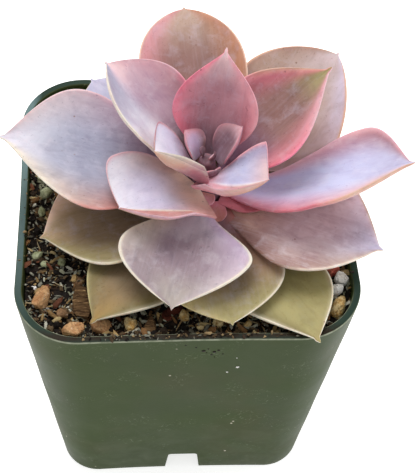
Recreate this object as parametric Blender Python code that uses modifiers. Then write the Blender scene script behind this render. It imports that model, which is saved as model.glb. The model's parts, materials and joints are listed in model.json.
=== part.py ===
"""A potted echeveria: a square nursery pot, its soil, and a rosette of thick leaves on a short stem.

Metres, +Z up, the front of the pot faces -Y. The origin is under the middle of the whole plant, at the height
that the pot stands on. Each leaf is one closed loft along a curved midrib, worked out by leaf_points.
"""

import math
from types import SimpleNamespace

import bmesh
import bpy
import numpy as np
from mathutils import Euler, Matrix, Vector

# Pot
POT_CENTRE = (-0.006, -0.0015)
POT_HEIGHT = 0.099
POT_TOP_HALF = 0.050
POT_BOTTOM_HALF = 0.0406
POT_TOP_CORNER = 0.0188
POT_BOTTOM_CORNER = 0.0121
POT_BOW = 0.00044
POT_WALL = 0.0012
RIM_WALL = 0.0022
RIM_BAND = 0.006
RIM_ROUND = 0.0004
FLOOR_UNDER = 0.0125
FLOOR_THICKNESS = 0.0012
NOTCH_HEIGHT = 0.012
NOTCH_BOTTOM_HALF = 0.0062
NOTCH_TOP_HALF = 0.0049
DRAIN_RADIUS = 0.004
DRAIN_OFFSET = 0.020
CORNER_STEPS = 8
SIDE_STEPS = 4

# Soil and stem
GAP = 0.0003
SOIL_TOP = 0.0943
STEM_OFFSET = (0.006, -0.001)
STEM_FOOT = (0.0070, 0.0920)
STEM_HEAD = (0.0024, 0.1190)
STEM_ROOT = (0.0035, 0.0800)
STEM_STEPS = 24

# Leaf section
UPPER_SHARE = 0.3
LOWER_SHARE = 0.7
EDGE_ROUNDNESS = 0.9
LEAF_RINGS = 11
LEAF_SIDES = 12
MIDRIB_POINTS = 241

AXIS = Vector((POT_CENTRE[0] + STEM_OFFSET[0], POT_CENTRE[1] + STEM_OFFSET[1], 0))
"""The rosette's own upright axis, a little right of the pot's middle."""

# Colours and finish
OLIVE_POT = (0.065, 0.090, 0.045)
PEAT = (0.018, 0.012, 0.009)
STEM_PINK = (0.45, 0.16, 0.12)
LAVENDER = (0.52, 0.50, 0.60)
LILAC_PINK = (0.56, 0.40, 0.48)
MAUVE = (0.36, 0.25, 0.28)
TAN = (0.42, 0.30, 0.24)
GREY_OLIVE = (0.33, 0.31, 0.22)
OLIVE = (0.24, 0.25, 0.12)
STONE_ROUGHNESS = 0.8


def clear_scene():
    for obj in list(bpy.data.objects):
        bpy.data.objects.remove(obj, do_unlink=True)


def new_collection(name):
    collection = bpy.data.collections.new(name)
    bpy.context.scene.collection.children.link(collection)
    return collection


def material(name, colour, roughness):
    made = bpy.data.materials.new(name)
    made.use_nodes = True
    surface = made.node_tree.nodes["Principled BSDF"]
    surface.inputs["Base Color"].default_value = (*colour, 1)
    surface.inputs["Roughness"].default_value = roughness
    return made


def new_object(name, mesh, collection, colour=None, roughness=0.5):
    obj = bpy.data.objects.new(name, mesh)
    collection.objects.link(obj)
    if colour:
        mesh.materials.append(material(name, colour, roughness))
    return obj


def mesh_from(name, points, faces):
    mesh = bpy.data.meshes.new(name)
    mesh.from_pydata([tuple(point) for point in points], [], faces)
    mesh.shade_smooth()
    mesh.set_sharp_from_angle(angle=math.radians(40))
    return mesh


def loft_faces(rings, sides):
    """Quads between neighbouring rings, each ring counter-clockwise about the way that the loft runs."""
    faces = []
    for ring in range(rings - 1):
        for side in range(sides):
            a = ring * sides + side
            b = ring * sides + (side + 1) % sides
            faces.append((a, b, b + sides, a + sides))
    return faces


def add_cutter(name, bm, collection):
    mesh = bpy.data.meshes.new(name)
    bm.to_mesh(mesh)
    bm.free()
    cutter = new_object(name, mesh, collection)
    cutter.hide_render = True
    cutter.display_type = "WIRE"
    return cutter


def cut(obj, cutters):
    modifier = obj.modifiers.new("cut", "BOOLEAN")
    modifier.operation = "DIFFERENCE"
    modifier.solver = "EXACT"
    modifier.operand_type = "COLLECTION"
    modifier.collection = cutters


# Pot and soil


def rounded_square(inset, z):
    """Points of the pot's outline at one height, moved inwards by inset, counter-clockwise from the +X side.

    The half width and the corner radius run straight from the bottom to the top, and each side bows inwards.
    """
    share = z / POT_HEIGHT
    half = POT_BOTTOM_HALF + (POT_TOP_HALF - POT_BOTTOM_HALF) * share - inset
    radius = POT_BOTTOM_CORNER + (POT_TOP_CORNER - POT_BOTTOM_CORNER) * share - inset
    straight = half - radius
    points = []
    for quarter in range(4):
        turn = Matrix.Rotation(quarter * math.pi / 2, 3, "Z")
        for step in range(SIDE_STEPS):
            along = -1 + 2 * step / SIDE_STEPS
            bow = POT_BOW * (1 - along * along)
            points.append(turn @ Vector((half - bow, straight * along, z)))
        for step in range(CORNER_STEPS):
            angle = math.pi / 2 * step / CORNER_STEPS
            corner = Vector((straight + radius * math.cos(angle), straight + radius * math.sin(angle), z))
            points.append(turn @ corner)
    return points


def loft_of_squares(name, profile):
    """One closed mesh from (inset, height) pairs, from the bottom's middle round the outside and up."""
    rings = [rounded_square(inset, z) for inset, z in profile]
    sides = len(rings[0])
    faces = loft_faces(len(rings), sides)
    faces.append(tuple(reversed(range(sides))))
    faces.append(tuple(range((len(rings) - 1) * sides, len(rings) * sides)))
    return mesh_from(name, [point for ring in rings for point in ring], faces)


def pot_profile():
    floor_top = FLOOR_UNDER + FLOOR_THICKNESS
    band_foot = POT_HEIGHT - RIM_BAND
    return [
        (POT_WALL, FLOOR_UNDER),
        (POT_WALL, 0),
        (0, 0),
        (0, POT_HEIGHT - RIM_ROUND),
        (RIM_ROUND, POT_HEIGHT),
        (RIM_WALL - RIM_ROUND, POT_HEIGHT),
        (RIM_WALL, POT_HEIGHT - RIM_ROUND),
        (RIM_WALL, band_foot),
        (POT_WALL, band_foot - (RIM_WALL - POT_WALL)),
        (POT_WALL, floor_top),
    ]


def soil_profile():
    """The pot's inside, a gap smaller all round, up to the soil's own level."""
    floor_top = FLOOR_UNDER + FLOOR_THICKNESS
    band_foot = POT_HEIGHT - RIM_BAND
    return [
        (POT_WALL + GAP, floor_top + GAP),
        (POT_WALL + GAP, band_foot - (RIM_WALL - POT_WALL) - GAP),
        (RIM_WALL + GAP, band_foot - GAP),
        (RIM_WALL + GAP, SOIL_TOP),
    ]


def notch_cutters(cutters):
    """Two bars with a narrower top, crossing below the floor, each of which cuts two opposite sides."""
    for index, angle in enumerate((0, math.pi / 2)):
        bm = bmesh.new()
        bmesh.ops.create_cube(bm, size=2)
        for vertex in bm.verts:
            top = vertex.co.z > 0
            vertex.co.x *= NOTCH_TOP_HALF if top else NOTCH_BOTTOM_HALF
            vertex.co.y *= POT_TOP_HALF
            vertex.co.z = NOTCH_HEIGHT if top else -NOTCH_HEIGHT
        cutter = add_cutter(f"notch_cutter_{index}", bm, cutters)
        cutter.matrix_world = Matrix.Translation((*POT_CENTRE, 0)) @ Matrix.Rotation(angle, 4, "Z")


def drain_cutters(cutters):
    spots = [(0, 0)] + [(x, y) for x in (-DRAIN_OFFSET, DRAIN_OFFSET) for y in (-DRAIN_OFFSET, DRAIN_OFFSET)]
    for index, (x, y) in enumerate(spots):
        bm = bmesh.new()
        bmesh.ops.create_cone(
            bm,
            cap_ends=True,
            segments=16,
            radius1=DRAIN_RADIUS,
            radius2=DRAIN_RADIUS,
            depth=3 * FLOOR_THICKNESS,
        )
        middle = FLOOR_UNDER + FLOOR_THICKNESS / 2
        cutter = add_cutter(f"drain_cutter_{index}", bm, cutters)
        cutter.location = (POT_CENTRE[0] + x, POT_CENTRE[1] + y, middle)


def build_pot(parts):
    cutters = new_collection("pot_cutters")
    notch_cutters(cutters)
    drain_cutters(cutters)
    pot = new_object("pot", loft_of_squares("pot", pot_profile()), parts, OLIVE_POT, 0.45)
    pot.location = (*POT_CENTRE, 0)
    cut(pot, cutters)


def build_soil(parts):
    """The soil holds a straight hole for the stem, a gap wider than the stem's foot."""
    cutters = new_collection("soil_cutters")
    bm = bmesh.new()
    depth = 2 * (SOIL_TOP - STEM_ROOT[1] + GAP)
    radius = STEM_FOOT[0] + GAP
    bmesh.ops.create_cone(bm, cap_ends=True, segments=STEM_STEPS, radius1=radius, radius2=radius, depth=depth)
    cutter = add_cutter("stem_hole_cutter", bm, cutters)
    cutter.location = (AXIS.x, AXIS.y, SOIL_TOP)
    soil = new_object("soil", loft_of_squares("soil", soil_profile()), parts, PEAT, 0.95)
    soil.location = (*POT_CENTRE, 0)
    cut(soil, cutters)


# Stem


def build_stem(parts):
    """A turned profile, from the top of the axis down the outer side to the root end."""
    head_radius, head_height = STEM_HEAD
    foot_radius, foot_height = STEM_FOOT
    root_radius, root_height = STEM_ROOT
    profile = [
        (0, head_height + head_radius * 0.35),
        (head_radius * 0.6, head_height + head_radius * 0.28),
        (head_radius, head_height),
        (foot_radius, foot_height),
        (foot_radius * 0.95, (foot_height + root_height) / 2),
        (root_radius, root_height),
        (0, root_height),
    ]
    mesh = bpy.data.meshes.new("stem")
    mesh.from_pydata([(x, 0, z) for x, z in profile], [(i, i + 1) for i in range(len(profile) - 1)], [])
    stem = new_object("stem", mesh, parts, STEM_PINK, 0.5)
    stem.location = AXIS
    screw = stem.modifiers.new("turn", "SCREW")
    screw.steps = STEM_STEPS
    screw.render_steps = STEM_STEPS
    screw.use_merge_vertices = True
    screw.merge_threshold = 0.0001
    screw.use_smooth_shade = True


# Leaves


def leaf(name, azimuth, height, length, width, pitch, cup, colour, **changes):
    """One leaf's design values, in metres and degrees. All pairs but pitch are (right, left) of the midrib.

    azimuth: the way that the leaf heads, from +X towards +Y, and foot: where its base meets the stem.
    height: its base above the ground. pitch: its slope at the base and at the tip.
    cup: half the angle of the arc across it. roll: its lean about its midrib. turn: how its heading swings.
    widest: where along it the full width is, base: the share of it at the base, rise: how late it widens.
    blunt and taper: how late and how sharply it narrows to the tip. Widest, base, rise and blunt are a number
    or a pair. reach: its base's distance from the axis, where that isn't the stem's radius.
    """
    made = SimpleNamespace(
        name=name,
        azimuth=azimuth,
        foot=azimuth,
        height=height,
        length=length,
        width=width,
        pitch=pitch,
        cup=cup,
        colour=colour,
        roll=0,
        turn=0,
        widest=0.56,
        base=0.14,
        rise=1.3,
        blunt=2.1,
        taper=0.9,
        thickness=0.0032,
        reach=None,
    )
    for key, value in changes.items():
        setattr(made, key, value)
    return made


LEAVES = [
    leaf("heart_bud_left", 150, 0.1202, 0.0036, 0.0024, (72, 84), (40, 40), LAVENDER,
         base=0.5, thickness=0.0010, reach=0.0013),
    leaf("heart_bud_right", 330, 0.1202, 0.0030, 0.0034, (66, 84), (40, 40), LILAC_PINK,
         base=0.5, thickness=0.0012, reach=0.0013),
    leaf("heart_leaf_left", 140, 0.1175, 0.0100, 0.0100, (68, 50), (50, 50), MAUVE,
         roll=10, base=0.4, thickness=0.0014),
    leaf("heart_leaf_right", 25, 0.1160, 0.0142, 0.0124, (68, 50), (50, 50), MAUVE,
         roll=-10, base=0.4, thickness=0.0018),
    leaf("inner_leaf_left", 190, 0.1160, 0.0180, 0.0215, (48, 42), (24, 105), LAVENDER,
         foot=218, roll=-2, base=(0.1, 0.36), rise=1, widest=(0.8, 0.66), blunt=(4.2, 2.6), thickness=0.0022),
    leaf("inner_leaf_right", -33, 0.1152, 0.0233, 0.0226, (26, 31), (112, 8), LAVENDER,
         foot=-112, turn=16, roll=24, base=(0.6, 0.1), rise=1.5, widest=(0.48, 0.92), blunt=(1.6, 6),
         thickness=0.0024, reach=0.0046),
    leaf("inner_leaf_back", 76, 0.1132, 0.0340, 0.0270, (60, 48), (38, 38), MAUVE, widest=0.46, taper=1.4),
    leaf("inner_leaf_front_left", 200, 0.1104, 0.0275, 0.0305, (20, 11), (36, 50), LAVENDER,
         foot=238, turn=20, roll=-4, base=(0.1, 0.75), rise=1, widest=(0.7, 0.58), blunt=(3.6, 2.4)),
    leaf("middle_leaf_left_back", 139, 0.1115, 0.0405, 0.0320, (36, 30), (45, 45), LILAC_PINK, roll=12),
    leaf("middle_leaf_right_back", 32, 0.1110, 0.0450, 0.0325, (30, 28), (32, 32), MAUVE,
         widest=(0.42, 0.5), blunt=1.8, taper=1.2),
    leaf("middle_leaf_left", 170.5, 0.1070, 0.0575, 0.0440, (14, 9), (25, 25), LAVENDER,
         rise=1.5, widest=(0.6, 0.48), blunt=(2.4, 1.9), taper=1.3),
    leaf("middle_leaf_front", 255, 0.1078, 0.0398, 0.0385, (5, -10), (15, 15), LAVENDER,
         rise=(2.2, 3), widest=(0.58, 0.54), blunt=(2.1, 1.6), taper=1),
    leaf("middle_leaf_right", -4.5, 0.1064, 0.0574, 0.0405, (6, 27), (26, 20), LILAC_PINK,
         roll=-18, rise=(1.2, 3.4), widest=(0.5, 0.74), blunt=(1.8, 2.3), taper=1.4),
    leaf("outer_leaf_back", 95, 0.1063, 0.0548, 0.0345, (28, 13), (30, 30), TAN, taper=0.72, blunt=2.3),
    leaf("outer_leaf_front", 277, 0.1044, 0.0410, 0.0360, (-3, -3), (12, 12), GREY_OLIVE,
         base=0.12, rise=(2.6, 3), widest=0.6),
    leaf("outer_leaf_front_right", -25, 0.1034, 0.0502, 0.0394, (6, -1), (20, 20), MAUVE,
         roll=1, base=0.12, rise=(1.8, 3), widest=(0.52, 0.56), blunt=(2.1, 1.9), taper=1.1),
    leaf("outer_leaf_back_left", 130, 0.1034, 0.0480, 0.0370, (6, 10), (12, 12), LAVENDER),
    leaf("outer_leaf_back_right", 43, 0.1003, 0.0562, 0.0400, (17, 29), (3, 26), TAN,
         roll=7, rise=(4, 1.3), widest=(0.44, 0.6), blunt=(1.7, 2), taper=0.72),
    leaf("lower_leaf_left", 197, 0.1032, 0.0455, 0.0350, (0, -2), (12, 12), GREY_OLIVE, blunt=2.3, taper=1.1),
    leaf("lower_leaf_front_left", 232, 0.0988, 0.0488, 0.0285, (1, 3), (5, 5), OLIVE,
         widest=(0.54, 0.5), blunt=(2.2, 1.7), taper=1.2),
    leaf("lower_leaf_front_right", -60, 0.0988, 0.0534, 0.0330, (-1.5, 7), (6, 6), OLIVE,
         widest=(0.38, 0.6), blunt=(1.6, 2.3), taper=1.2, thickness=0.0028),
    leaf("lower_leaf_right", 12, 0.0982, 0.0460, 0.0320, (4, 8), (8, 8), OLIVE),
    leaf("lower_leaf_back_right", 64, 0.0964, 0.0420, 0.0310, (3, 4), (4, 4), OLIVE),
    leaf("lower_leaf_back", 112, 0.0998, 0.0460, 0.0330, (3, 3), (6, 6), GREY_OLIVE),
    leaf("lower_leaf_back_left", 157, 0.0970, 0.0390, 0.0290, (1, 3), (4, 4), GREY_OLIVE),
]


def stem_radius(height):
    (foot_radius, foot_height), (head_radius, head_height) = STEM_FOOT, STEM_HEAD
    share = (height - foot_height) / (head_height - foot_height)
    return foot_radius + (head_radius - foot_radius) * min(max(share, 0), 1)


def seat_reach(item):
    """How far from the axis a leaf starts, so that both faces of its base clear the stem by the gap."""
    thickness = leaf_thickness(item, 0)
    lean = math.sin(math.radians(item.pitch[0]))
    overhang = thickness * max(UPPER_SHARE * lean, -LOWER_SHARE * lean)
    return stem_radius(item.height - LOWER_SHARE * thickness) + GAP + overhang


def midrib(item):
    """Points along the midrib, and the frame there: forward, left and up, each an array with a row a point.

    The slope changes evenly from the base to the tip, and the heading by turn * s ** 1.5.
    """
    s = np.linspace(0, 1, MIDRIB_POINTS)
    slope = np.radians(item.pitch[0] + (item.pitch[1] - item.pitch[0]) * s)
    heading = np.radians(item.azimuth + item.turn * s**1.5)
    level = np.zeros_like(s)
    forward = np.stack([np.cos(slope) * np.cos(heading), np.cos(slope) * np.sin(heading), np.sin(slope)], 1)
    left = np.stack([-np.sin(heading), np.cos(heading), level], 1)
    up = np.cross(forward, left)
    lean = np.radians(item.roll) * np.clip(2 * s, 0, 1)[:, None]
    left, up = np.cos(lean) * left + np.sin(lean) * up, np.cos(lean) * up - np.sin(lean) * left
    steps = (forward[1:] + forward[:-1]) / 2 * item.length / (MIDRIB_POINTS - 1)
    points = np.vstack([np.zeros(3), np.cumsum(steps, axis=0)])
    reach = item.reach or seat_reach(item)
    foot = math.radians(item.foot)
    start = (AXIS.x + reach * math.cos(foot), AXIS.y + reach * math.sin(foot), item.height)
    return s, points + np.array(start), forward, left, up


def leaf_thickness(item, s):
    swell = 0.8 + 0.2 * np.sin(np.pi * s)
    return item.thickness * swell * np.clip((1 - s) / 0.25, 0, 1) ** 0.45


def half_width(item, s, side):
    """The outline on one side, 0 for right and 1 for left of the midrib.

    It widens along a quarter of a sine wave, then falls as a power curve to the tip.
    """
    both = (item.widest, item.base, item.rise, item.blunt)
    widest, base, rise, blunt = (value[side] if isinstance(value, tuple) else value for value in both)
    grown = base + (1 - base) * np.sin(np.clip(s / widest, 0, 1) * np.pi / 2) ** rise
    past = np.clip((s - widest) / (1 - widest), 0, 1)
    narrowed = np.clip(1 - past**blunt, 0, 1) ** item.taper
    return item.width / 2 * np.where(s < widest, grown, narrowed)


def leaf_points(item):
    """Rings round the leaf, one at each step along the midrib, and the tip as the last point.

    Across the leaf, u goes from -1 at its right edge to 1 at its left, on an arc of angle cup * u. The upper
    face stands UPPER_SHARE of the thickness above that arc, the lower face LOWER_SHARE below it, and the two
    meet in a rounded edge.
    """
    s, middle, _, left, up = midrib(item)
    share = 1 - (1 - np.arange(LEAF_RINGS) / LEAF_RINGS) ** 1.15
    at = np.round((MIDRIB_POINTS - 1) * share).astype(int)
    around = np.arange(LEAF_SIDES) * 2 * np.pi / LEAF_SIDES
    u = np.cos(around)[None, :]
    edge = np.abs(np.sin(around))[None, :] ** EDGE_ROUNDNESS
    side = np.where(np.sin(around)[None, :] >= 0, UPPER_SHARE, -LOWER_SHARE)
    s = s[at][:, None]
    half = np.where(u < 0, half_width(item, s, 0), half_width(item, s, 1))
    opened = 0.35 + 0.65 * np.clip(s / 0.35, 0, 1) ** 0.7
    bend = np.radians(np.where(u < 0, item.cup[0], item.cup[1])) * opened
    across = half * np.sin(bend * u) / bend
    raised = half * (1 - np.cos(bend * u)) / bend + side * edge * leaf_thickness(item, s)
    rings = middle[at][:, None] + left[at][:, None] * across[..., None] + up[at][:, None] * raised[..., None]
    return np.vstack([rings.reshape(-1, 3), middle[-1]])


def build_leaf(item, parts):
    points = leaf_points(item)
    faces = loft_faces(LEAF_RINGS, LEAF_SIDES)
    last = (LEAF_RINGS - 1) * LEAF_SIDES
    faces += [(last + side, last + (side + 1) % LEAF_SIDES, len(points) - 1) for side in range(LEAF_SIDES)]
    faces.append(tuple(reversed(range(LEAF_SIDES))))
    new_object(item.name, mesh_from(item.name, points, faces), parts, item.colour, 0.5)


# What lies on the soil


def stone(name, place, size, turn, colour, shape="stone"):
    """place is from the pot's middle, size is (length, width, height), turn is degrees round Z."""
    return SimpleNamespace(name=name, place=place, size=size, turn=turn, colour=colour, shape=shape)


STONES = [
    stone("orange_stone_front", (-0.0330, -0.0441), (0.0066, 0.0048, 0.0036), 5, (0.50, 0.28, 0.13)),
    stone("orange_stone_under_leaf", (-0.0250, -0.0423), (0.0058, 0.0056, 0.0026), 20, (0.45, 0.20, 0.11)),
    stone("pink_stone_left", (-0.0420, -0.0325), (0.0082, 0.0040, 0.0034), 70, (0.46, 0.26, 0.17)),
    stone("yellow_stone_front", (-0.0170, -0.0420), (0.0042, 0.0036, 0.0026), 80, (0.46, 0.36, 0.14)),
    stone("olive_stone_left", (-0.0318, -0.0265), (0.0040, 0.0034, 0.0014), 30, (0.22, 0.19, 0.07)),
    stone("small_brown_stone", (-0.0362, -0.0378), (0.0034, 0.0028, 0.0020), 0, (0.30, 0.16, 0.08)),
    stone("bark_chip", (-0.0305, -0.0342), (0.0105, 0.0062, 0.0022), 78, (0.22, 0.14, 0.07), shape="chip"),
    stone("bark_piece_front", (-0.0112, -0.0425), (0.0056, 0.0034, 0.0022), 85, (0.1, 0.06, 0.04), "chip"),
    stone("tan_stick", (-0.0385, -0.0385), (0.0060, 0.0016, 0.0014), -48, (0.45, 0.33, 0.16)),
    stone("dry_leaf", (-0.0045, -0.0372), (0.0090, 0.0036, 0.0016), 42, (0.22, 0.06, 0.04), shape="chip"),
    stone("red_stone_right", (0.0426, -0.0245), (0.0052, 0.0042, 0.0034), 20, (0.48, 0.13, 0.07)),
    stone("white_pumice_upper", (0.0451, -0.0280), (0.0042, 0.0034, 0.0032), 150, (0.80, 0.80, 0.76)),
    stone("white_pumice_lower", (0.0430, -0.0314), (0.0042, 0.0038, 0.0032), 20, (0.80, 0.76, 0.72)),
    stone("tan_stone_right", (0.0433, -0.0372), (0.0074, 0.0042, 0.0034), 59, (0.55, 0.38, 0.16)),
]


def stone_points(item, seed, bm):
    """Pushes a ball's points in and out by three plane waves, flattens its underside, and sets its size."""
    waves = [Vector((1.7, 0.9, -1.3)), Vector((-0.8, 2.1, 1.1)), Vector((1.2, -1.6, 2.3))]
    flat = {"stone": -0.45, "chip": -0.55}[item.shape]
    ceiling = {"stone": 0.95, "chip": 0.55}[item.shape]
    for vertex in bm.verts:
        way = vertex.co.normalized()
        bump = sum(math.sin(wave.dot(way) * 1.6 + seed * (2 + k)) for k, wave in enumerate(waves))
        vertex.co = way * (1 + 0.07 * bump)
        vertex.co.z = min(max(vertex.co.z, flat), ceiling + 0.08 * vertex.co.x)
    low = Vector([min(vertex.co[k] for vertex in bm.verts) for k in range(3)])
    high = Vector([max(vertex.co[k] for vertex in bm.verts) for k in range(3)])
    for vertex in bm.verts:
        for k in range(3):
            share = (vertex.co[k] - low[k]) / (high[k] - low[k])
            vertex.co[k] = item.size[k] * (share - (0 if k == 2 else 0.5))


def build_stone(item, seed, parts):
    bm = bmesh.new()
    bmesh.ops.create_icosphere(bm, subdivisions=2, radius=1)
    stone_points(item, seed, bm)
    mesh = bpy.data.meshes.new(item.name)
    bm.to_mesh(mesh)
    bm.free()
    mesh.shade_smooth()
    obj = new_object(item.name, mesh, parts, item.colour, STONE_ROUGHNESS)
    obj.location = (POT_CENTRE[0] + item.place[0], POT_CENTRE[1] + item.place[1], SOIL_TOP + GAP)
    obj.rotation_euler = Euler((0, 0, math.radians(item.turn)))


clear_scene()
plant = new_collection("potted_echeveria")
build_pot(plant)
build_soil(plant)
build_stem(plant)
for each in LEAVES:
    build_leaf(each, plant)
for number, each in enumerate(STONES, start=1):
    build_stone(each, number, plant)
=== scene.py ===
# %% [markdown]
# # A potted echeveria
#
# A rosette of thick, waxy leaves grows from a short stem in a square nursery pot of olive green plastic. The
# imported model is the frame: it says where each piece is. This lesson gives every piece its real surface, its
# colours and its finish, and then lights and frames the plant as a photograph would.

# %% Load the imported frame
import json
import math
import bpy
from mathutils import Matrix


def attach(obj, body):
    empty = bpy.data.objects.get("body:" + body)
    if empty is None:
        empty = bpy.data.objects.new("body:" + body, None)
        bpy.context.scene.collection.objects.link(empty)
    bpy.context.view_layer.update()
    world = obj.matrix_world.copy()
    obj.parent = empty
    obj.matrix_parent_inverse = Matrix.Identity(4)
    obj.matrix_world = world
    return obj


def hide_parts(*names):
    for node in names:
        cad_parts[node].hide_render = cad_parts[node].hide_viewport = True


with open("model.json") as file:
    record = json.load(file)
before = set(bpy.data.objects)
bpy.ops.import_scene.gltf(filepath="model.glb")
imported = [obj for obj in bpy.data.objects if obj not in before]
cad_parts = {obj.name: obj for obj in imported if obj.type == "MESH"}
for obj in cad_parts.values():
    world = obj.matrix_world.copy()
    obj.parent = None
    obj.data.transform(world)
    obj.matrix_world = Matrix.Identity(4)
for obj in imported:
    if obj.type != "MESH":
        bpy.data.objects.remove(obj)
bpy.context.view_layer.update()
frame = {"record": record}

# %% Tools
from types import SimpleNamespace

import bpy
import numpy as np
from mathutils import Matrix, Vector

SLOT_OF = {part["node"]: part["material_slot"] for part in frame["record"]["subparts"]}

# %% [markdown]
# ## Sizes that several pieces share
#
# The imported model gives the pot's middle, the rosette's upright axis, the level of the soil and the stem's
# taper. Lengths are metres, and angles are degrees until a sine needs them.

# %% Shared sizes
POT_CENTRE = (-0.006, -0.0015)
AXIS = (0.0, -0.0025)
POT_HEIGHT = 0.099
SOIL_TOP = 0.0943
GAP = 0.0003
STEM_FOOT = (0.0070, 0.0920)
STEM_HEAD = (0.0024, 0.1190)
STEM_ROOT = (0.0035, 0.0800)


def round_angles(sides):
    return np.arange(sides) * 2 * np.pi / sides


# %% [markdown]
# ## From arrays to a mesh
#
# A surface worked out with numpy is ready as a whole array. A closed skin is a stack of rings, so one helper
# numbers the faces of such a stack, one closes an end with a fan, and one hands the arrays to Blender at
# once.

# %% Faces of a stack of rings
def ring_faces(rings, sides):
    """Quads between rings: a corner's number is ring * sides + side, and the last side meets the first."""
    ring, side = np.meshgrid(np.arange(rings - 1), np.arange(sides), indexing="ij")
    near = ring * sides + side
    far = ring * sides + (side + 1) % sides
    return np.stack([near, far, far + sides, near + sides], -1).reshape(-1, 4)


def fan_faces(first, sides, pole, outward=True):
    """Triangles from one ring to a pole; outward=False turns them round for the start of a stack."""
    here = first + np.arange(sides)
    following = first + (np.arange(sides) + 1) % sides
    ends = (here, following) if outward else (following, here)
    return np.stack([*ends, np.full(sides, pole)], -1)


# %% One mesh object from arrays
def object_from(name, points, *face_groups):
    """Points as rows of x, y, z. A face group is an array with a face a row, all of one corner count."""
    mesh = bpy.data.meshes.new(name)
    sizes = np.concatenate([np.full(len(group), group.shape[1]) for group in face_groups])
    corners = np.concatenate([group.ravel() for group in face_groups])
    mesh.vertices.add(len(points))
    mesh.vertices.foreach_set("co", np.asarray(points, np.float32).ravel())
    mesh.loops.add(len(corners))
    mesh.loops.foreach_set("vertex_index", corners.astype(np.int32))
    mesh.polygons.add(len(sizes))
    mesh.polygons.foreach_set("loop_start", (np.cumsum(sizes) - sizes).astype(np.int32))
    mesh.update(calc_edges=True)
    mesh.validate()
    mesh.shade_smooth()
    obj = bpy.data.objects.new(name, mesh)
    bpy.context.scene.collection.objects.link(obj)
    return obj


# %% Closed skins and straight bars
def closed_skin(name, points, sides):
    """Rings of so many corners, then two poles: the one that closes the last ring, and the first ring's."""
    pole = len(points) - 2
    fans = np.vstack([fan_faces(pole - sides, sides, pole), fan_faces(0, sides, pole + 1, outward=False)])
    return object_from(name, points, ring_faces(pole // sides, sides), fans)


def bar(name, outlines):
    """A straight bar between two outlines, with a flat face at each end."""
    sides = outlines.shape[1]
    ends = np.vstack([np.arange(sides)[::-1], np.arange(sides) + sides])
    return object_from(name, outlines.reshape(-1, 3), ring_faces(2, sides), ends)


# %% Seat a piece on its body, in place of its node
def seat(piece, finish, *nodes, slot=None):
    """Every piece rides on the one body. The nodes named are hidden, because this piece stands for them."""
    piece.data.materials.clear()
    piece.data.materials.append(finish)
    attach(piece, "root")
    if nodes:
        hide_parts(*nodes)
    return piece


# %% [markdown]
# ## Colours as a painter names them
#
# A palette keeps the colours in one place, as screen colours. A small function turns them into the linear
# light that shaders expect.

# %% The palette
def linear(screen):
    """Screen colour '#rrggbb' to linear light, by the usual curve: (c + 0.055) / 1.055 to the power 2.4."""
    share = np.array([int(screen[at:at + 2], 16) for at in (1, 3, 5)]) / 255
    return np.where(share <= 0.04045, share / 12.92, ((share + 0.055) / 1.055) ** 2.4)


PALETTE = {
    "frost": "#f1edf6", "cream": "#f5ead6", "blush": "#f2d2d4", "petal": "#eebfc6", "pink": "#f4b0ba",
    "flush": "#fb8ea5", "orchid": "#dcc4e4", "thistle": "#b48caa", "violet": "#9c94ba", "garnet": "#7c3a40",
    "opal": "#dcd8ff", "shrimp": "#e39c8c", "lavender": "#d6cfe6", "periwinkle": "#cdd0f0",
    "bluish": "#c6c4de", "steel": "#b2b4c8", "slate": "#a9a4b8", "lilac": "#c9b4d0", "heather": "#c0a2b2",
    "dove": "#d6c6c9", "ash": "#9b8791", "mauve": "#ae90a0", "old_rose": "#c08a96", "dusk": "#8c6c78",
    "plum": "#73505a", "wine": "#593840", "brick": "#a35c5a", "rose": "#e0a0aa", "coral": "#dc7f8c",
    "salmon": "#cf8c84", "clay": "#b5766c", "bisque": "#efcdb8", "peach": "#deb69e", "amber": "#c88e6c",
    "biscuit": "#c4aa9a", "fawn": "#bda27e", "stone": "#c0b6ac", "tan": "#b4967e", "cocoa": "#95706a",
    "umber": "#8a6656", "taupe": "#907c62", "sage": "#9c9a86", "khaki": "#a99f6c", "olive": "#877c4e",
    "moss": "#6c6440", "straw": "#d2c492", "honey": "#b09050", "plastic_green": "#3b4925",
    "plastic_dark": "#354220", "plastic_dust": "#7c836a", "plastic_lip": "#2b3c33",
    "plastic_pale_line": "#a9ae98", "plastic_brown": "#4a4228", "plastic_painted_reflection": "#93b0b4",
    "plastic_soil": "#2c231a", "peat_black": "#120d0b", "peat_brown": "#261c16", "peat_rust": "#4c3424",
    "pumice_white": "#fdfcf8", "pumice_grey": "#d8d0c6",
}
COLOURS = {name: linear(screen) for name, screen in PALETTE.items()}
print("palette:", len(COLOURS), "colours")

# %% [markdown]
# ## Painting on a mesh
#
# A leaf's middle, sides, tip, rim and underside all differ in colour, and slowly. That is easiest to paint
# on the mesh's own corners, as an attribute that the material reads. The fine detail is left to noise
# textures.

# %% Attributes on corners
def smooth_step(low, high, value):
    """0 below low, 1 above high, and between them t * t * (3 - 2 t)."""
    t = np.clip((value - low) / (high - low), 0, 1)
    return t * t * (3 - 2 * t)


def between(first, second, share):
    """Colours that go from first to second as share goes from 0 to 1, a row for each corner."""
    return first + (second - first) * share[..., None]


def store(obj, name, kind, key, values):
    attribute = obj.data.attributes.new(name, kind, "POINT")
    attribute.data.foreach_set(key, values.astype(np.float32).ravel())


def store_tint(obj, colours):
    store(obj, "tint", "FLOAT_COLOR", "color", np.concatenate([colours, np.ones((len(colours), 1))], 1))


# %% [markdown]
# ## Finishes
#
# A material is a small network of nodes. A finish starts from one colour and lays coats of others over it,
# each as thick as some pattern says, so each material below reads as a short list of steps.

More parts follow.
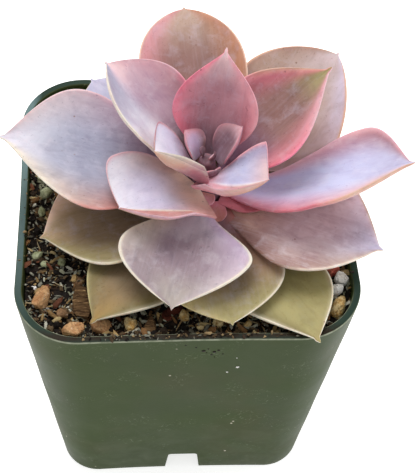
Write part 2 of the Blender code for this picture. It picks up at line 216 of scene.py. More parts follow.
# %% A finish in the making
class Finish:
    """A material and its shader, with the sockets that are the same all over set straight on the shader."""

    def __init__(self, name, **sockets):
        self.material = bpy.data.materials.new(name)
        self.material.use_nodes = True
        self.tree = self.material.node_tree
        self.inputs = self.tree.nodes["Principled BSDF"].inputs
        for key, value in sockets.items():
            self.inputs[key.replace("_", " ")].default_value = value

    def add(self, kind, sockets, **settings):
        """A new node's outputs. A socket given as another node's output is linked; other values are set."""
        node = self.tree.nodes.new("ShaderNode" + kind)
        for key, value in settings.items():
            setattr(node, key, value)
        for key, value in sockets.items():
            if isinstance(value, bpy.types.NodeSocket):
                self.tree.links.new(value, node.inputs[key])
            else:
                node.inputs[key].default_value = value
        return node.outputs

    def place(self, **mapping):
        """Object coordinates, stretched by a Mapping node where a pattern has a direction."""
        place = self.add("TexCoord", {})["Object"]
        return self.add("Mapping", {"Vector": place, **mapping})[0] if mapping else place

    def painted(self, name, output):
        return self.add("Attribute", {}, attribute_name=name)[output]

    def noise(self, place, scale, detail=3.0, roughness=0.55, distortion=0.0):
        sockets = {"Vector": place, "Scale": scale, "Detail": detail, "Roughness": roughness}
        return self.add("TexNoise", {**sockets, "Distortion": distortion})[0]

    def cells(self, place, scale):
        """Distance from the nearest of many scattered points."""
        return self.add("TexVoronoi", {"Vector": place, "Scale": scale}, feature="F1")["Distance"]

    def spread(self, value, low, high, to_low=0.0, to_high=1.0):
        """Stretches the part of value between low and high to another range, and holds it there outside."""
        return self.add("MapRange", {"Value": value, "From Min": low, "From Max": high, "To Min": to_low,
                                     "To Max": to_high}, clamp=True)[0]

    def patches(self, low, high, *noise):
        """Noise that is 0 below low and 1 above high."""
        return self.spread(self.noise(*noise), low, high)

    def times(self, share, *others):
        for other in others:
            share = self.add("Math", {0: share, 1: other}, operation="MULTIPLY")[0]
        return share

    def mix(self, share, first, second, blend="MIX"):
        """From first to second; each is an output, a palette name or a screen colour."""
        first, second = (
            c if isinstance(c, bpy.types.NodeSocket) else (*(COLOURS[c] if c in COLOURS else linear(c)), 1)
            for c in (first, second)
        )
        return self.add("Mix", {0: share, 6: first, 7: second}, data_type="RGBA", blend_type=blend)[2]

    def coat(self, colour, *shares, blend="MIX"):
        """Lays a colour over what is there, as far as the product of the shares."""
        self.colour = self.mix(self.times(*shares), self.colour, colour, blend)

    def done(self, roughness, *heights):
        """Links colour and roughness, and adds up bumps: each of heights is (value, strength, metres)."""
        self.tree.links.new(self.colour, self.inputs["Base Color"])
        self.tree.links.new(roughness, self.inputs["Roughness"])
        normal = {}
        for value, strength, distance in heights:
            bump = self.add("Bump", {"Height": value, "Strength": strength, "Distance": distance, **normal})
            normal = {"Normal": bump[0]}
        self.tree.links.new(normal["Normal"], self.inputs["Normal"])
        return self.material


# %% [markdown]
# ## The leaf: one function for every leaf
#
# An echeveria leaf is thick and spoon shaped: narrow at the stem, widest past the middle, then drawn in to a
# point. All leaves are one surface with two parameters: s runs along the midrib from 0 to 1, and an angle
# runs round the leaf's section.

# %% What a leaf is made of
def leaf(name, azimuth, height, length, width, pitch, cup, foot=None, roll=0, turn=0, widest=0.56, base=0.14,
         rise=1.3, blunt=2.1, taper=0.9, thickness=0.0032, reach=None):
    """One leaf's design values, in metres and degrees. All pairs but pitch are (right, left) of the midrib.

    azimuth: the way that the leaf heads, from +X towards +Y, and foot: where its base meets the stem.
    height: its base above the ground. pitch: its slope at the base and at the tip. cup: half the angle of
    the arc across it. roll: its lean about its midrib. turn: how its heading swings. widest: where along it
    the full width is, base: the share of it at the base, rise: how late it widens. blunt and taper: how late
    and how sharply it narrows to the tip. reach: its base's distance from the axis.
    """
    foot = azimuth if foot is None else foot
    return SimpleNamespace(**locals())


# %% [markdown]
# The heart holds two buds and two small upright leaves, and the inner leaves fold round them.

# %% Heart and inner leaves
HEART = [
    leaf("heart_bud_left", 150, 0.1202, 0.0036, 0.0024, (72, 84), (40, 40),
         base=0.5, thickness=0.0010, reach=0.0013),
    leaf("heart_bud_right", 330, 0.1202, 0.0030, 0.0034, (66, 84), (40, 40),
         base=0.5, thickness=0.0012, reach=0.0013),
    leaf("heart_leaf_left", 140, 0.1175, 0.0100, 0.0100, (68, 50), (50, 50),
         roll=10, base=0.4, thickness=0.0014),
    leaf("heart_leaf_right", 25, 0.1160, 0.0142, 0.0124, (68, 50), (50, 50),
         roll=-10, base=0.4, thickness=0.0018),
]
INNER = [
    leaf("inner_leaf_left", 190, 0.1160, 0.0180, 0.0215, (48, 42), (24, 105), foot=218, roll=-2,
         base=(0.1, 0.72), rise=1, widest=(0.8, 0.66), blunt=(4.2, 2.6), thickness=0.0022),
    leaf("inner_leaf_right", -33, 0.1152, 0.0233, 0.0226, (26, 31), (112, 8), foot=-112, turn=16, roll=24,
         base=(0.6, 0.1), rise=1.5, widest=(0.48, 0.92), blunt=(1.6, 6), thickness=0.0024, reach=0.0046),
    leaf("inner_leaf_back", 76, 0.1132, 0.0340, 0.0270, (60, 48), (38, 38), widest=0.46, taper=1.4),
    leaf("inner_leaf_front_left", 200, 0.1104, 0.0275, 0.0305, (20, 11), (36, 50), foot=238, turn=20, roll=-4,
         base=(0.1, 0.97), rise=1, widest=(0.7, 0.58), blunt=(3.6, 2.4)),
]

# %% [markdown]
# The middle leaves are the largest. They lean out more, and the two at the sides reach past the pot's rim.

# %% Middle leaves
MIDDLE = [
    leaf("middle_leaf_left_back", 139, 0.1115, 0.0405, 0.0320, (36, 30), (45, 45), roll=12),
    leaf("middle_leaf_right_back", 32, 0.1110, 0.0450, 0.0325, (30, 28), (32, 32),
         widest=(0.42, 0.5), blunt=1.8, taper=1.2),
    leaf("middle_leaf_left", 170.5, 0.1070, 0.0575, 0.0440, (14, 9), (25, 25),
         rise=1.5, widest=(0.6, 0.48), blunt=(2.4, 1.9), taper=1.3),
    leaf("middle_leaf_front", 255, 0.1078, 0.0398, 0.0385, (5, -10), (15, 15),
         rise=(2.2, 3), widest=(0.58, 0.54), blunt=(2.1, 1.6), taper=1),
    leaf("middle_leaf_right", -4.5, 0.1064, 0.0574, 0.0405, (6, 27), (26, 20),
         roll=-18, rise=(1.2, 3.4), widest=(0.5, 0.74), blunt=(1.8, 2.3), taper=1.4),
]

# %% [markdown]
# The outer leaves lie almost level, and the lowest and oldest rest just above the soil. Small scales fill
# the gaps at the stem.

# %% Outer and lowest leaves
OUTER = [
    leaf("outer_leaf_back", 95, 0.1063, 0.0548, 0.0345, (28, 13), (30, 30), taper=0.72, blunt=2.3),
    leaf("outer_leaf_front", 277, 0.1044, 0.0410, 0.0360, (-3, -3), (12, 12),
         base=(0.12, 0.34), rise=(2.6, 2.1), widest=0.6),
    leaf("outer_leaf_front_right", -25, 0.1034, 0.0502, 0.0394, (6, -1), (20, 20),
         roll=1, base=(0.36, 0.3), rise=(1.75, 3), widest=(0.52, 0.56), blunt=(2.1, 1.9), taper=1.1),
    leaf("outer_leaf_back_left", 130, 0.1034, 0.0480, 0.0390, (6, 10), (12, 12), blunt=2.6, taper=1),
    leaf("outer_leaf_back_right", 43, 0.1003, 0.0562, 0.0400, (17, 29), (3, 26),
         roll=7, rise=(4, 1.3), widest=(0.44, 0.6), blunt=(1.7, 2), taper=0.72),
]
LOWEST = [
    leaf("lower_leaf_left", 197, 0.1032, 0.0455, 0.0350, (0, -2), (12, 12), blunt=2.3, taper=1.1),
    leaf("lower_leaf_front_left", 232, 0.0988, 0.0488, 0.0285, (1, 3), (5, 5),
         widest=(0.54, 0.5), blunt=(2.2, 1.7), taper=1.2),
    leaf("lower_leaf_front_right", -60, 0.0988, 0.0534, 0.0330, (-1.5, 7), (6, 6),
         widest=(0.38, 0.6), blunt=(1.6, 2.3), taper=1.2, thickness=0.0028),
    leaf("lower_leaf_right", 12, 0.0982, 0.0460, 0.0320, (4, 8), (8, 8)),
    leaf("lower_leaf_back_right", 64, 0.0964, 0.0420, 0.0310, (3, 4), (4, 4)),
    leaf("lower_leaf_back", 112, 0.0998, 0.0460, 0.0330, (3, 3), (6, 6)),
    leaf("lower_leaf_back_left", 157, 0.0970, 0.0390, 0.0290, (1, 3), (4, 4)),
]
LEAVES = HEART + INNER + MIDDLE + OUTER + LOWEST
SCALES = [
    leaf(*design, base=0.8, blunt=blunt, thickness=thickness)
    for *design, blunt, thickness in (
        ("base_scale_front", 282, 0.1052, 0.0076, 0.0080, (8, -22), (25, 25), 3, 0.0020),
        ("base_scale_right", 330, 0.1052, 0.0135, 0.0085, (12, 2), (25, 25), 1.6, 0.0020),
        ("base_scale_left", 255, 0.1092, 0.0070, 0.0090, (24, 6), (25, 25), 3, 0.0020),
        ("heart_scale", 292, 0.1150, 0.0052, 0.0060, (64, 88), (50, 50), 3, 0.0012),
    )
]
print("leaves:", len(LEAVES), "scales:", len(SCALES))

# %% [markdown]
# ### The midrib
#
# A leaf's backbone starts on the stem. Its slope changes evenly from base to tip, so adding up many short
# steps gives the points, and a frame of three directions travels along with them.

# %% Midrib
UPPER_SHARE = 0.3
LOWER_SHARE = 0.7
MIDRIB_POINTS = 961


def seat_reach(item):
    """How far from the axis a leaf starts, so that both faces of its base clear the stem by the gap."""
    thickness = leaf_thickness(item, 0)
    lean = math.sin(math.radians(item.pitch[0]))
    overhang = thickness * max(UPPER_SHARE * lean, -LOWER_SHARE * lean)
    stem_radius = np.interp(item.height - LOWER_SHARE * thickness, [STEM_FOOT[1], STEM_HEAD[1]],
                            [STEM_FOOT[0], STEM_HEAD[0]])
    return stem_radius + GAP + overhang


def midrib(item):
    """Points along the midrib, and the frame there: left and up, each an array with a row a point.

    The slope changes evenly from the base to the tip, and the heading by turn times s to the power 1.5.
    """
    s = np.linspace(0, 1, MIDRIB_POINTS)
    slope = np.radians(item.pitch[0] + (item.pitch[1] - item.pitch[0]) * s)
    heading = np.radians(item.azimuth + item.turn * s**1.5)
    forward = np.stack([np.cos(slope) * np.cos(heading), np.cos(slope) * np.sin(heading), np.sin(slope)], 1)
    left = np.stack([-np.sin(heading), np.cos(heading), np.zeros_like(s)], 1)
    up = np.cross(forward, left)
    lean = np.radians(item.roll) * np.clip(2 * s, 0, 1)[:, None]
    left, up = np.cos(lean) * left + np.sin(lean) * up, np.cos(lean) * up - np.sin(lean) * left
    steps = (forward[1:] + forward[:-1]) / 2 * item.length / (MIDRIB_POINTS - 1)
    points = np.vstack([np.zeros(3), np.cumsum(steps, axis=0)])
    reach = item.reach or seat_reach(item)
    foot = math.radians(item.foot)
    start = (AXIS[0] + reach * math.cos(foot), AXIS[1] + reach * math.sin(foot), item.height)
    return s, points + np.array(start), left, up


# %% [markdown]
# ### Outline and thickness
#
# The outline is two curves joined where the leaf is widest: a quarter of a sine wave grows out of the base,
# and a power curve falls to the small soft point of the tip. The two sides of a leaf differ, as on the
# plant.

# %% Outline and thickness
POINT = 0.0009
BASE_ROUND = 0.07


def leaf_thickness(item, s):
    """Swells by a fifth in the middle, and falls to nothing over the last quarter."""
    swell = 0.8 + 0.2 * np.sin(np.pi * s)
    return item.thickness * swell * np.clip((1 - s) / 0.25, 0, 1) ** 0.45


def half_width(item, s, side):
    """The outline on one side, 0 for right and 1 for left of the midrib. Over BASE_ROUND it starts as a
    quarter of an ellipse, so the corners by the stem are round."""
    both = (item.widest, item.base, item.rise, item.blunt)
    widest, base, rise, blunt = (value[side] if isinstance(value, tuple) else value for value in both)
    point_length = POINT * min(item.length / 0.045, 1)
    closes = 1 - point_length / item.length
    grown = base + (1 - base) * np.sin(np.clip(s / widest, 0, 1) * np.pi / 2) ** rise
    past = np.clip((s - widest) / (closes - widest), 0, 1)
    narrowed = np.clip(1 - past**blunt, 0, 1) ** item.taper
    point = 0.6 * point_length * np.clip((1 - s) / (1 - closes), 0, 1.5) ** 0.8
    rounded = 0.35 + 0.65 * np.sqrt(1 - (1 - np.clip(s / BASE_ROUND, 0, 1)) ** 2)
    full = item.width / 2 * rounded * np.where(s < widest, grown, narrowed)
    return np.maximum(full, np.where(s > 0.8, point, 0))


# %% [markdown]
# ### The skin
#
# Round the section, the angle's cosine says how far across a point is, and its sine how far above or below
# the middle. The skin adds a shallow channel down the upper face, a keel under it, a slightly raised rim,
# and slow waves that no two leaves share.

# %% Leaf skin
LEAF_RINGS = 88
SIDES_ABOVE = 84
SIDES_BELOW = 40
LEAF_SIDES = SIDES_ABOVE + SIDES_BELOW
CHANNEL = 0.00025
KEEL = 0.00045
RIM_BEAD = 0.00020
MARGIN_WAVE = 0.00022
FULL_LENGTH = 0.05


def life_of(item, s, u, seed):
    """How far the living leaf stands off the plain form, in metres, all shrinking with a small leaf.

    Waves: two sines along the leaf, stronger towards the margin. Dimples: the product of two sines.
    """
    first, second, third, fourth = np.random.default_rng(seed).uniform(0, 2 * np.pi, 4)
    size = min(item.length / FULL_LENGTH, 1)
    wave = np.sin(2 * np.pi * (1.3 * s) + first + 0.6 * np.sign(u))
    wave = wave + 0.6 * np.sin(2 * np.pi * 2.7 * s + second)
    dimple = np.sin(9 * s + third + 2 * u) * np.sin(5 * u + fourth + 4 * s)
    return size * MARGIN_WAVE * (wave * u * u * 0.7 + 0.45 * dimple) * np.sin(np.pi * np.clip(s, 0, 1)) ** 0.5


def leaf_skin(item, seed):
    """Rings round the leaf, and for each point its s, its u from right (-1) to left (1), and whether it is
    above.

    Across the leaf, u is the cosine of the angle round it, on an arc of angle cup * u. The upper face stands
    UPPER_SHARE of the thickness above that arc, the lower face LOWER_SHARE below it, and they meet in a
    rounded edge. Where a ring lies along the leaf is 1 - (1 - i / n) to the power 1.35.
    """
    s, middle, left, up = midrib(item)
    share = 1 - (1 - np.arange(LEAF_RINGS) / LEAF_RINGS) ** 1.35
    at = np.round((MIDRIB_POINTS - 1) * share).astype(int)
    upper, lower = np.arange(SIDES_ABOVE) / SIDES_ABOVE, 1 + np.arange(SIDES_BELOW) / SIDES_BELOW
    around = np.pi * np.concatenate([upper, lower])
    u = np.cos(around)[None, :] * np.ones((LEAF_RINGS, 1))
    above = np.sin(around)[None, :] * np.ones((LEAF_RINGS, 1))
    edge = np.abs(above) ** 0.9
    side = np.where(above >= 0, UPPER_SHARE, -LOWER_SHARE)
    s = s[at][:, None] * np.ones_like(u)
    half = np.where(u < 0, half_width(item, s, 0), half_width(item, s, 1))
    opened = 0.35 + 0.65 * np.clip(s / 0.35, 0, 1) ** 0.7
    bend = np.radians(np.where(u < 0, item.cup[0], item.cup[1])) * opened
    across = half * np.sin(bend * u) / bend
    raised = half * (1 - np.cos(bend * u)) / bend + side * edge * leaf_thickness(item, s)
    size = min(item.length / FULL_LENGTH, 1)
    fading = np.sin(np.pi * np.clip(s * 0.9 + 0.1, 0, 1)) ** 0.6
    middle_line = np.exp(-((u / 0.16) ** 2)) * size * fading
    raised = raised - np.where(above > 0, CHANNEL, KEEL) * middle_line * edge
    raised = raised + RIM_BEAD * size * np.exp(-(((np.abs(u) - 0.965) / 0.03) ** 2)) * (above > 0) * fading
    raised = raised + life_of(item, s, u, seed)
    rings = middle[at][:, None] + left[at][:, None] * across[..., None] + up[at][:, None] * raised[..., None]
    return rings, middle[-1], s, u, above, half, across


# %% [markdown]
# ### The colours of each leaf
#
# Strong light turns an echeveria pink at its rims and tips and leaves the middle a frosted lavender, while
# the old leaves under it fade to tan and olive. The notes below are palette names, as a painter would write
# them.

# %% Paint notes
def paint(zones, glow=0.45, reach=1.0, edge=1.0, crease=None):
    """zones: body (base, middle, tip), right side and left side (near the base, near the tip), rim (right,
    left; or right and left near the base, then right and left near the tip) and underside (base, tip).

    glow: how strongly the rim's colour spreads inwards, and reach how far. edge: how wide the bright rim is:
    the pale margin, and partly a painted highlight on its rounded edge.
    crease: where across the leaf it folds sharply, at the base and at the tip, the colour of a painted
    highlight along the fold, and how soft the fold is. Past the fold lies the side colour.
    """
    return SimpleNamespace(**locals())


# In each crease note, the colour is a painted highlight along the fold.
PAINT = {
    "heart_bud_left": paint("plum dusk dusk, plum dusk, plum dusk, dusk dusk, plum dusk"),
    "heart_bud_right": paint("wine wine wine, dusk dusk, wine wine, petal plum, wine plum"),
    "heart_leaf_left": paint("lilac orchid pink, umber rose, frost clay, old_rose rose, plum clay", 0.7),
    "heart_leaf_right": paint("mauve dusk petal, dusk petal, dusk petal, rose rose, plum mauve", 0.6),
    "inner_leaf_left": paint(
        "old_rose lavender frost, lilac lavender, old_rose biscuit, old_rose cream, old_rose peach",
        crease=(0.05, 0.05, "cream", 1)),
    "inner_leaf_right": paint(
        "old_rose periwinkle blush, rose peach, wine violet, petal pink pink pink, rose peach",
        0.7, crease=(-0.12, -0.12, "frost", 1)),
    "inner_leaf_back": paint(
        "dusk old_rose blush, coral pink, flush pink, pink flush, clay mauve", 0.95, 1.8),
    "inner_leaf_front_left": paint(
        "bisque lavender frost, bisque frost, salmon salmon, petal petal, rose peach",
        0.6, crease=(0.9, 0.42, "cream", 1)),
    # middle_leaf_left_back: the garnet on its right side near the stem is painted shade, where its base lies
    # in shadow.
    "middle_leaf_left_back": paint(
        "wine heather blush, garnet petal, frost slate, flush cream petal cream, mauve lilac",
        0.8, 1.3, crease=(-0.05, 0.15, "lavender", 5)),
    "middle_leaf_right_back": paint(
        "thistle cocoa khaki, coral rose, garnet flush, flush flush petal peach, mauve blush",
        0.9, 1.5, crease=(-0.8, -0.76, "rose", 1.5)),
    "middle_leaf_left": paint(
        "mauve steel frost, heather dove, clay cream, petal salmon blush cream, mauve cream", 0.6, 1.3),
    # middle_leaf_front: its frost base is painted lighter than the leaf, painted light against the shade of
    # inner_leaf_front_left above it.
    "middle_leaf_front": paint(
        "frost ash stone, cream ash, orchid dove, cream cream, mauve cream", edge=1.3),
    # middle_leaf_right: its opal base is painted lighter than the leaf, painted light against the shade that
    # inner_leaf_right casts there.
    "middle_leaf_right": paint(
        "opal periwinkle bluish, coral blush, pink brick, coral petal peach petal, coral blush", 0.8, 1.6),
    "outer_leaf_back": paint(
        "umber cocoa biscuit, amber amber, clay rose, bisque bisque, umber peach", 0.3, edge=0.8),
    "outer_leaf_front": paint(
        "dusk taupe khaki, umber straw, salmon khaki, cream bisque straw cream, umber straw"),
    # outer_leaf_front_right: its bisque base is painted lighter than the leaf, painted light against the shade
    # under middle_leaf_right.
    "outer_leaf_front_right": paint(
        "bisque dove bluish, cocoa biscuit, bisque frost, umber cream cream cream, umber cream", edge=1.2),
    "outer_leaf_back_left": paint("dusk steel bluish, slate bluish, slate bluish, cream cream, dusk cream"),
    "outer_leaf_back_right": paint(
        "umber biscuit dove, blush lavender, cocoa biscuit, peach peach, umber peach", 0.3),
    "lower_leaf_left": paint(
        "moss taupe fawn, clay bisque, taupe khaki, peach straw bisque cream, moss straw"),
    "lower_leaf_front_left": paint(
        "moss taupe honey, moss olive, olive olive, straw straw straw cream, moss straw", edge=0.8),
    "lower_leaf_front_right": paint(
        "straw khaki khaki, sage olive, khaki khaki, cream cream, moss straw", edge=0.9),
    "lower_leaf_right": paint("moss olive khaki, moss khaki, moss khaki, straw cream, moss straw"),
    "lower_leaf_back_right": paint("moss olive khaki, moss khaki, moss khaki, straw cream, moss straw"),
    "lower_leaf_back": paint("umber sage khaki, umber khaki, umber khaki, straw cream, moss straw"),
    "lower_leaf_back_left": paint("moss sage khaki, moss khaki, moss khaki, straw cream, moss straw"),
    "base_scale_front": paint("coral salmon shrimp, coral salmon, coral salmon, shrimp pink, coral salmon"),
    "base_scale_right": paint("coral coral coral, coral coral, coral coral, coral coral, coral salmon"),
    "base_scale_left": paint("salmon rose pink, salmon pink, salmon pink, pink pink, coral salmon"),
    "heart_scale": paint("dusk old_rose dusk, dusk old_rose, dusk old_rose, rose rose, plum dusk"),
}
print("leaves with paint notes:", len(PAINT))


# %% From notes to colours on the corners
SOFT_RIM = 0.0024
# The bright rim is the pale margin, and partly a painted highlight on the leaf's rounded edge.
BRIGHT_RIM = 0.0011


def leaf_colours(note, s, u, above, half):
    """Along the leaf the middle colour rises over s 0.12 to 0.5 and turns to the tip's over 0.62 to 1.
    Across it, the side colours take over past a quarter of the way out. Near the edge the rim's colour comes
    in twice: softly over SOFT_RIM, and brightly over a narrower band that is the pale margin and partly a
    painted highlight on its rounded edge."""
    body, right, left, rim, under = (
        [COLOURS[word] for word in zone.split()]
        for zone in note.zones.split(",")
    )
    on_right = (u < 0)[..., None]
    face = between(between(body[0], body[1], smooth_step(0.12, 0.5, s)), body[2], smooth_step(0.62, 1.0, s))
    right_side = between(right[0], right[1], smooth_step(0.3, 0.85, s))
    left_side = between(left[0], left[1], smooth_step(0.3, 0.85, s))
    face = between(face, np.where(on_right, right_side, left_side), smooth_step(0.25, 0.95, np.abs(u)) * 0.85)
    if note.crease:
        at_base, at_tip, shine, softness = note.crease
        fold = at_base + (at_tip - at_base) * smooth_step(0.1, 0.8, s)
        away = u - fold if at_tip >= 0 else fold - u
        beyond = smooth_step(-0.04 * softness, 0.04 * softness, away)
        face = between(face, left_side if at_tip >= 0 else right_side, beyond * smooth_step(0.1, 0.3, s))
        # A painted highlight along the fold.
        line = np.exp(-((away / (0.045 * softness)) ** 2)) * 0.8 / softness * smooth_step(0.15, 0.4, s)
        face = between(face, COLOURS[shine], line)
    below = between(under[0], under[1], smooth_step(0.3, 0.9, s))
    face = np.where((above >= 0)[..., None], face, below)
    rim_base, rim_tip = np.where(on_right, rim[0], rim[1]), np.where(on_right, rim[-2], rim[-1])
    rim_colour = between(rim_base, rim_tip, smooth_step(0.45, 0.7, s))
    inward = half * (1 - np.abs(u)) + 0.0004 * (1 - s)
    narrow = np.minimum(1, half / 0.008)
    soft = 1 - smooth_step(0, 1, inward / (SOFT_RIM * note.reach * narrow + 1e-6))
    # The bright band: the pale margin, partly a painted highlight on the rounded edge.
    bright = 1 - smooth_step(0.45, 1, inward / (BRIGHT_RIM * note.edge * narrow + 1e-6))
    face = between(face, rim_colour, note.glow * soft * smooth_step(0.1, 0.45, s))
    return between(face, rim_colour, bright * smooth_step(0.1, 0.4, s))


# %% [markdown]
# ### The leaf's finish
#
# The frosted look is a bloom: a powder of wax that softens every highlight and rubs off in patches. Light
# enters the flesh and comes out again near the rims. So the material has a broad soft highlight, a little
# subsurface light, patches and streaks where the wax is thinner, and a few corky specks.

# %% Leaf finish
def leaf_finish(name, bloom, rubbed, speck, specks, age=1.0):
    """bloom: the wax powder. rubbed: a tone that the leaf darkens by where the wax is thin. specks: how rare
    the corky dots are, from 0.5 for many to 0.7 for few. age: how patchy the wax is, 1 for a young leaf."""
    make = Finish(name, IOR=1.4, Specular_IOR_Level=0.3, Subsurface_Weight=0.18, Subsurface_Scale=0.003,
                  Subsurface_Radius=(1.0, 0.5, 0.45), Sheen_Weight=0.08, Sheen_Roughness=0.6)
    place, grain = make.place(), make.painted("grain", "Vector")
    lengthwise = make.add("Mapping", {"Vector": grain, "Scale": (140, 330, 40)})[0]
    veins = make.add("Mapping", {"Vector": grain, "Scale": (60, 1300, 40)})[0]
    make.colour = make.painted("tint", "Color")
    clouds = make.patches(0.40, 0.66, place, 75, 5, 0.62, 0.6)
    make.coat(rubbed, clouds, 0.34, blend="MULTIPLY")
    smears = make.patches(0.46, 0.72, lengthwise, 1.0, 4, 0.6, 0.9)
    make.coat(rubbed, smears, 0.26 * age, blend="MULTIPLY")
    powder = make.patches(0.50, 0.72, place, 240, 4, 0.65, 0.4)
    make.coat(bloom, powder, 0.20 * age)
    streaks = make.patches(0.50, 0.72, veins, 1.0, 3, 0.65, 0.3)
    make.coat(bloom, streaks, 0.07 * age * age)
    scratches = make.patches(0.66, 0.72, place, 520, 2, 0.5, 3.0)
    make.coat(rubbed, scratches, 0.38, blend="MULTIPLY")
    dots = make.spread(make.cells(place, 420.0), 0.08, 0.17, 1.0, 0.0)
    make.coat(speck, dots, make.patches(specks, specks + 0.04, place, 160, 1, 0.5), 0.75)
    fine = (make.noise(place, 2600, 2, 0.5), 0.25, 0.00006)
    broad = (make.noise(place, 240, 2, 0.5), 0.35, 0.0003)
    return make.done(make.spread(clouds, 0, 1, 0.58, 0.44), fine, broad)


LEAF_FINISHES = {
    "leaf_lavender": leaf_finish("lavender_leaf_skin", "frost", "slate", "umber", 0.66),
    "leaf_lilac_pink": leaf_finish("lilac_leaf_skin", "frost", "lilac", "umber", 0.67),
    "leaf_mauve": leaf_finish("mauve_leaf_skin", "lavender", "mauve", "plum", 0.66),
    "leaf_tan": leaf_finish("tan_leaf_skin", "lavender", "tan", "umber", 0.64),
    "leaf_grey_olive": leaf_finish("grey_olive_leaf_skin", "bluish", "khaki", "umber", 0.62),
    "leaf_olive": leaf_finish("olive_leaf_skin", "sage", "khaki", "umber", 0.62),
}
WEATHERED = {
    "outer_leaf_front_right": leaf_finish("weathered_leaf_skin", "frost", "heather", "umber", 0.60, 1.6),
}
print("leaf finishes:", sorted(LEAF_FINISHES))


# %% Grow the rosette
def grow_leaf(item, seed, slot=None):
    """Skin, tint and grain. A slot is given for the small scales, which replace no node."""
    rings, tip, s, u, above, half, across = leaf_skin(item, seed)
    points = np.vstack([rings.reshape(-1, 3), tip, rings[0].mean(0)])
    obj = closed_skin(item.name + "_skin", points, LEAF_SIDES)
    colours = leaf_colours(PAINT[item.name], s, u, above, half).reshape(-1, 3)
    store_tint(obj, np.vstack([colours, colours[-LEAF_SIDES:].mean(0), colours[:LEAF_SIDES].mean(0)]))
    grain = np.stack([s * item.length, across, np.full_like(s, seed * 0.1)], -1).reshape(-1, 3)
    store(obj, "grain", "FLOAT_VECTOR", "vector", np.vstack([grain, grain[-1], grain[0]]))
    if slot:
        return seat(obj, LEAF_FINISHES[slot], slot=slot)
    return seat(obj, WEATHERED.get(item.name, LEAF_FINISHES[SLOT_OF[item.name]]), item.name)


GROWN = [grow_leaf(item, seed) for seed, item in enumerate(LEAVES, start=1)]
GROWN += [grow_leaf(item, seed, "leaf_mauve") for seed, item in enumerate(SCALES, start=31)]
print("leaf faces:", sum(len(obj.data.polygons) for obj in GROWN))

# %% [markdown]
# ## The stem
#
# Little of the stem shows: a pinkish knob between the leaf bases, and a brown foot. It is a profile turned
# round the axis, with rings of old leaf scars as shallow bulges.

# %% Stem
STEM_SIDES = 64
STEM_ROWS = 90
STEM_LOW = 0.086
STEM_CROWN = [(0.0022, 0.1194), (0.0015, 0.1197), (0.0006, 0.11985)]
STEM_TIP = 0.11990


def stem_skin():
    """Radius falls evenly from foot to head, with bulges: sines round and up the stem, like a spiral."""
    profile = [STEM_ROOT, (STEM_FOOT[0] * 0.95, STEM_LOW), STEM_FOOT, STEM_HEAD, *STEM_CROWN]
    radii, levels = np.array(profile).T
    height = np.concatenate([np.linspace(STEM_ROOT[1], STEM_HEAD[1], STEM_ROWS), levels[-len(STEM_CROWN):]])
    height = height[:, None]
    radius = np.interp(height, levels, radii)
    around = round_angles(STEM_SIDES)[None, :]
    spiral = np.sin(5 * around + height * 1700) * np.sin(height * 2100)
    swollen = radius * (1 - 0.03 + 0.025 * spiral + 0.005 * np.sin(23 * around + height * 900))
    rings = np.stack([AXIS[0] + swollen * np.cos(around), AXIS[1] + swollen * np.sin(around),
                      height * np.ones_like(swollen)], -1)
    return np.vstack([rings.reshape(-1, 3), (*AXIS, STEM_TIP), (*AXIS, STEM_ROOT[1])])


def stem_finish():
    make = Finish("stem_skin_finish", Specular_IOR_Level=0.35, Subsurface_Weight=0.2, Subsurface_Scale=0.003)
    place = make.place()
    mottled = make.patches(0.35, 0.7, place, 420, 4, 0.6, 0.3)
    make.colour = make.mix(mottled, "plum", "dusk")
    height = make.add("SeparateXYZ", {"Vector": place})[2]
    make.coat("umber", make.spread(height, 0.097, 0.104, 1.0, 0.0))
    return make.done(make.spread(mottled, 0, 1, 0.7, 0.5), (make.noise(place, 1500, 3, 0.6), 0.5, 0.0003))


stem = seat(closed_skin("scarred_stem", stem_skin(), STEM_SIDES), stem_finish(), "stem")
print("stem faces:", len(stem.data.polygons))

# %% [markdown]
# ## The pot
#
# The pot is one thin moulding: a rounded square that tapers down to its foot, a thicker band at the rim, a
# raised floor with drain holes, and a small arched notch in each side. Its walls are rings of one outline at
# many heights, and cutters make the notches and holes.

# %% Pot outline
POT_TOP_HALF = 0.050
POT_BOTTOM_HALF = 0.0406
POT_TOP_CORNER = 0.0188
POT_BOTTOM_CORNER = 0.0121
POT_BOW = 0.00044
SIDE_STEPS = 12
CORNER_STEPS = 20
OUTLINE_STEPS = 4 * (SIDE_STEPS + CORNER_STEPS)


def pot_size(height):
    """The half width and the corner radius, which run straight from bottom to top."""
    share = height / POT_HEIGHT
    half = POT_BOTTOM_HALF + (POT_TOP_HALF - POT_BOTTOM_HALF) * share
    return half, POT_BOTTOM_CORNER + (POT_TOP_CORNER - POT_BOTTOM_CORNER) * share


def pot_rings(inset, height):
    """Rounded squares at the heights, moved inwards by inset. Each side bows inwards by a parabola, and one
    quarter is turned to make the other three."""
    half, radius = (size[:, None] - inset[:, None] for size in pot_size(height))
    straight = half - radius
    along = (-1 + 2 * np.arange(SIDE_STEPS) / SIDE_STEPS)[None, :]
    angle = (np.pi / 2 * np.arange(CORNER_STEPS) / CORNER_STEPS)[None, :]
    x = np.concatenate([half - POT_BOW * (1 - along**2), straight + radius * np.cos(angle)], 1)
    y = np.concatenate([straight * along, straight + radius * np.sin(angle)], 1)
    all_x = np.concatenate([x, -y, -x, y], 1) + POT_CENTRE[0]
    all_y = np.concatenate([y, x, -y, -x], 1) + POT_CENTRE[1]
    return np.stack([all_x, all_y, height[:, None] * np.ones_like(all_x)], -1)


# %% Pot profile
WALL = 0.0012
RIM_WALL = 0.0022
RIM_BAND = 0.006
FLOOR_UNDER = 0.0125
FLOOR_TOP = 0.0137
LIP_ROUND = 0.0004


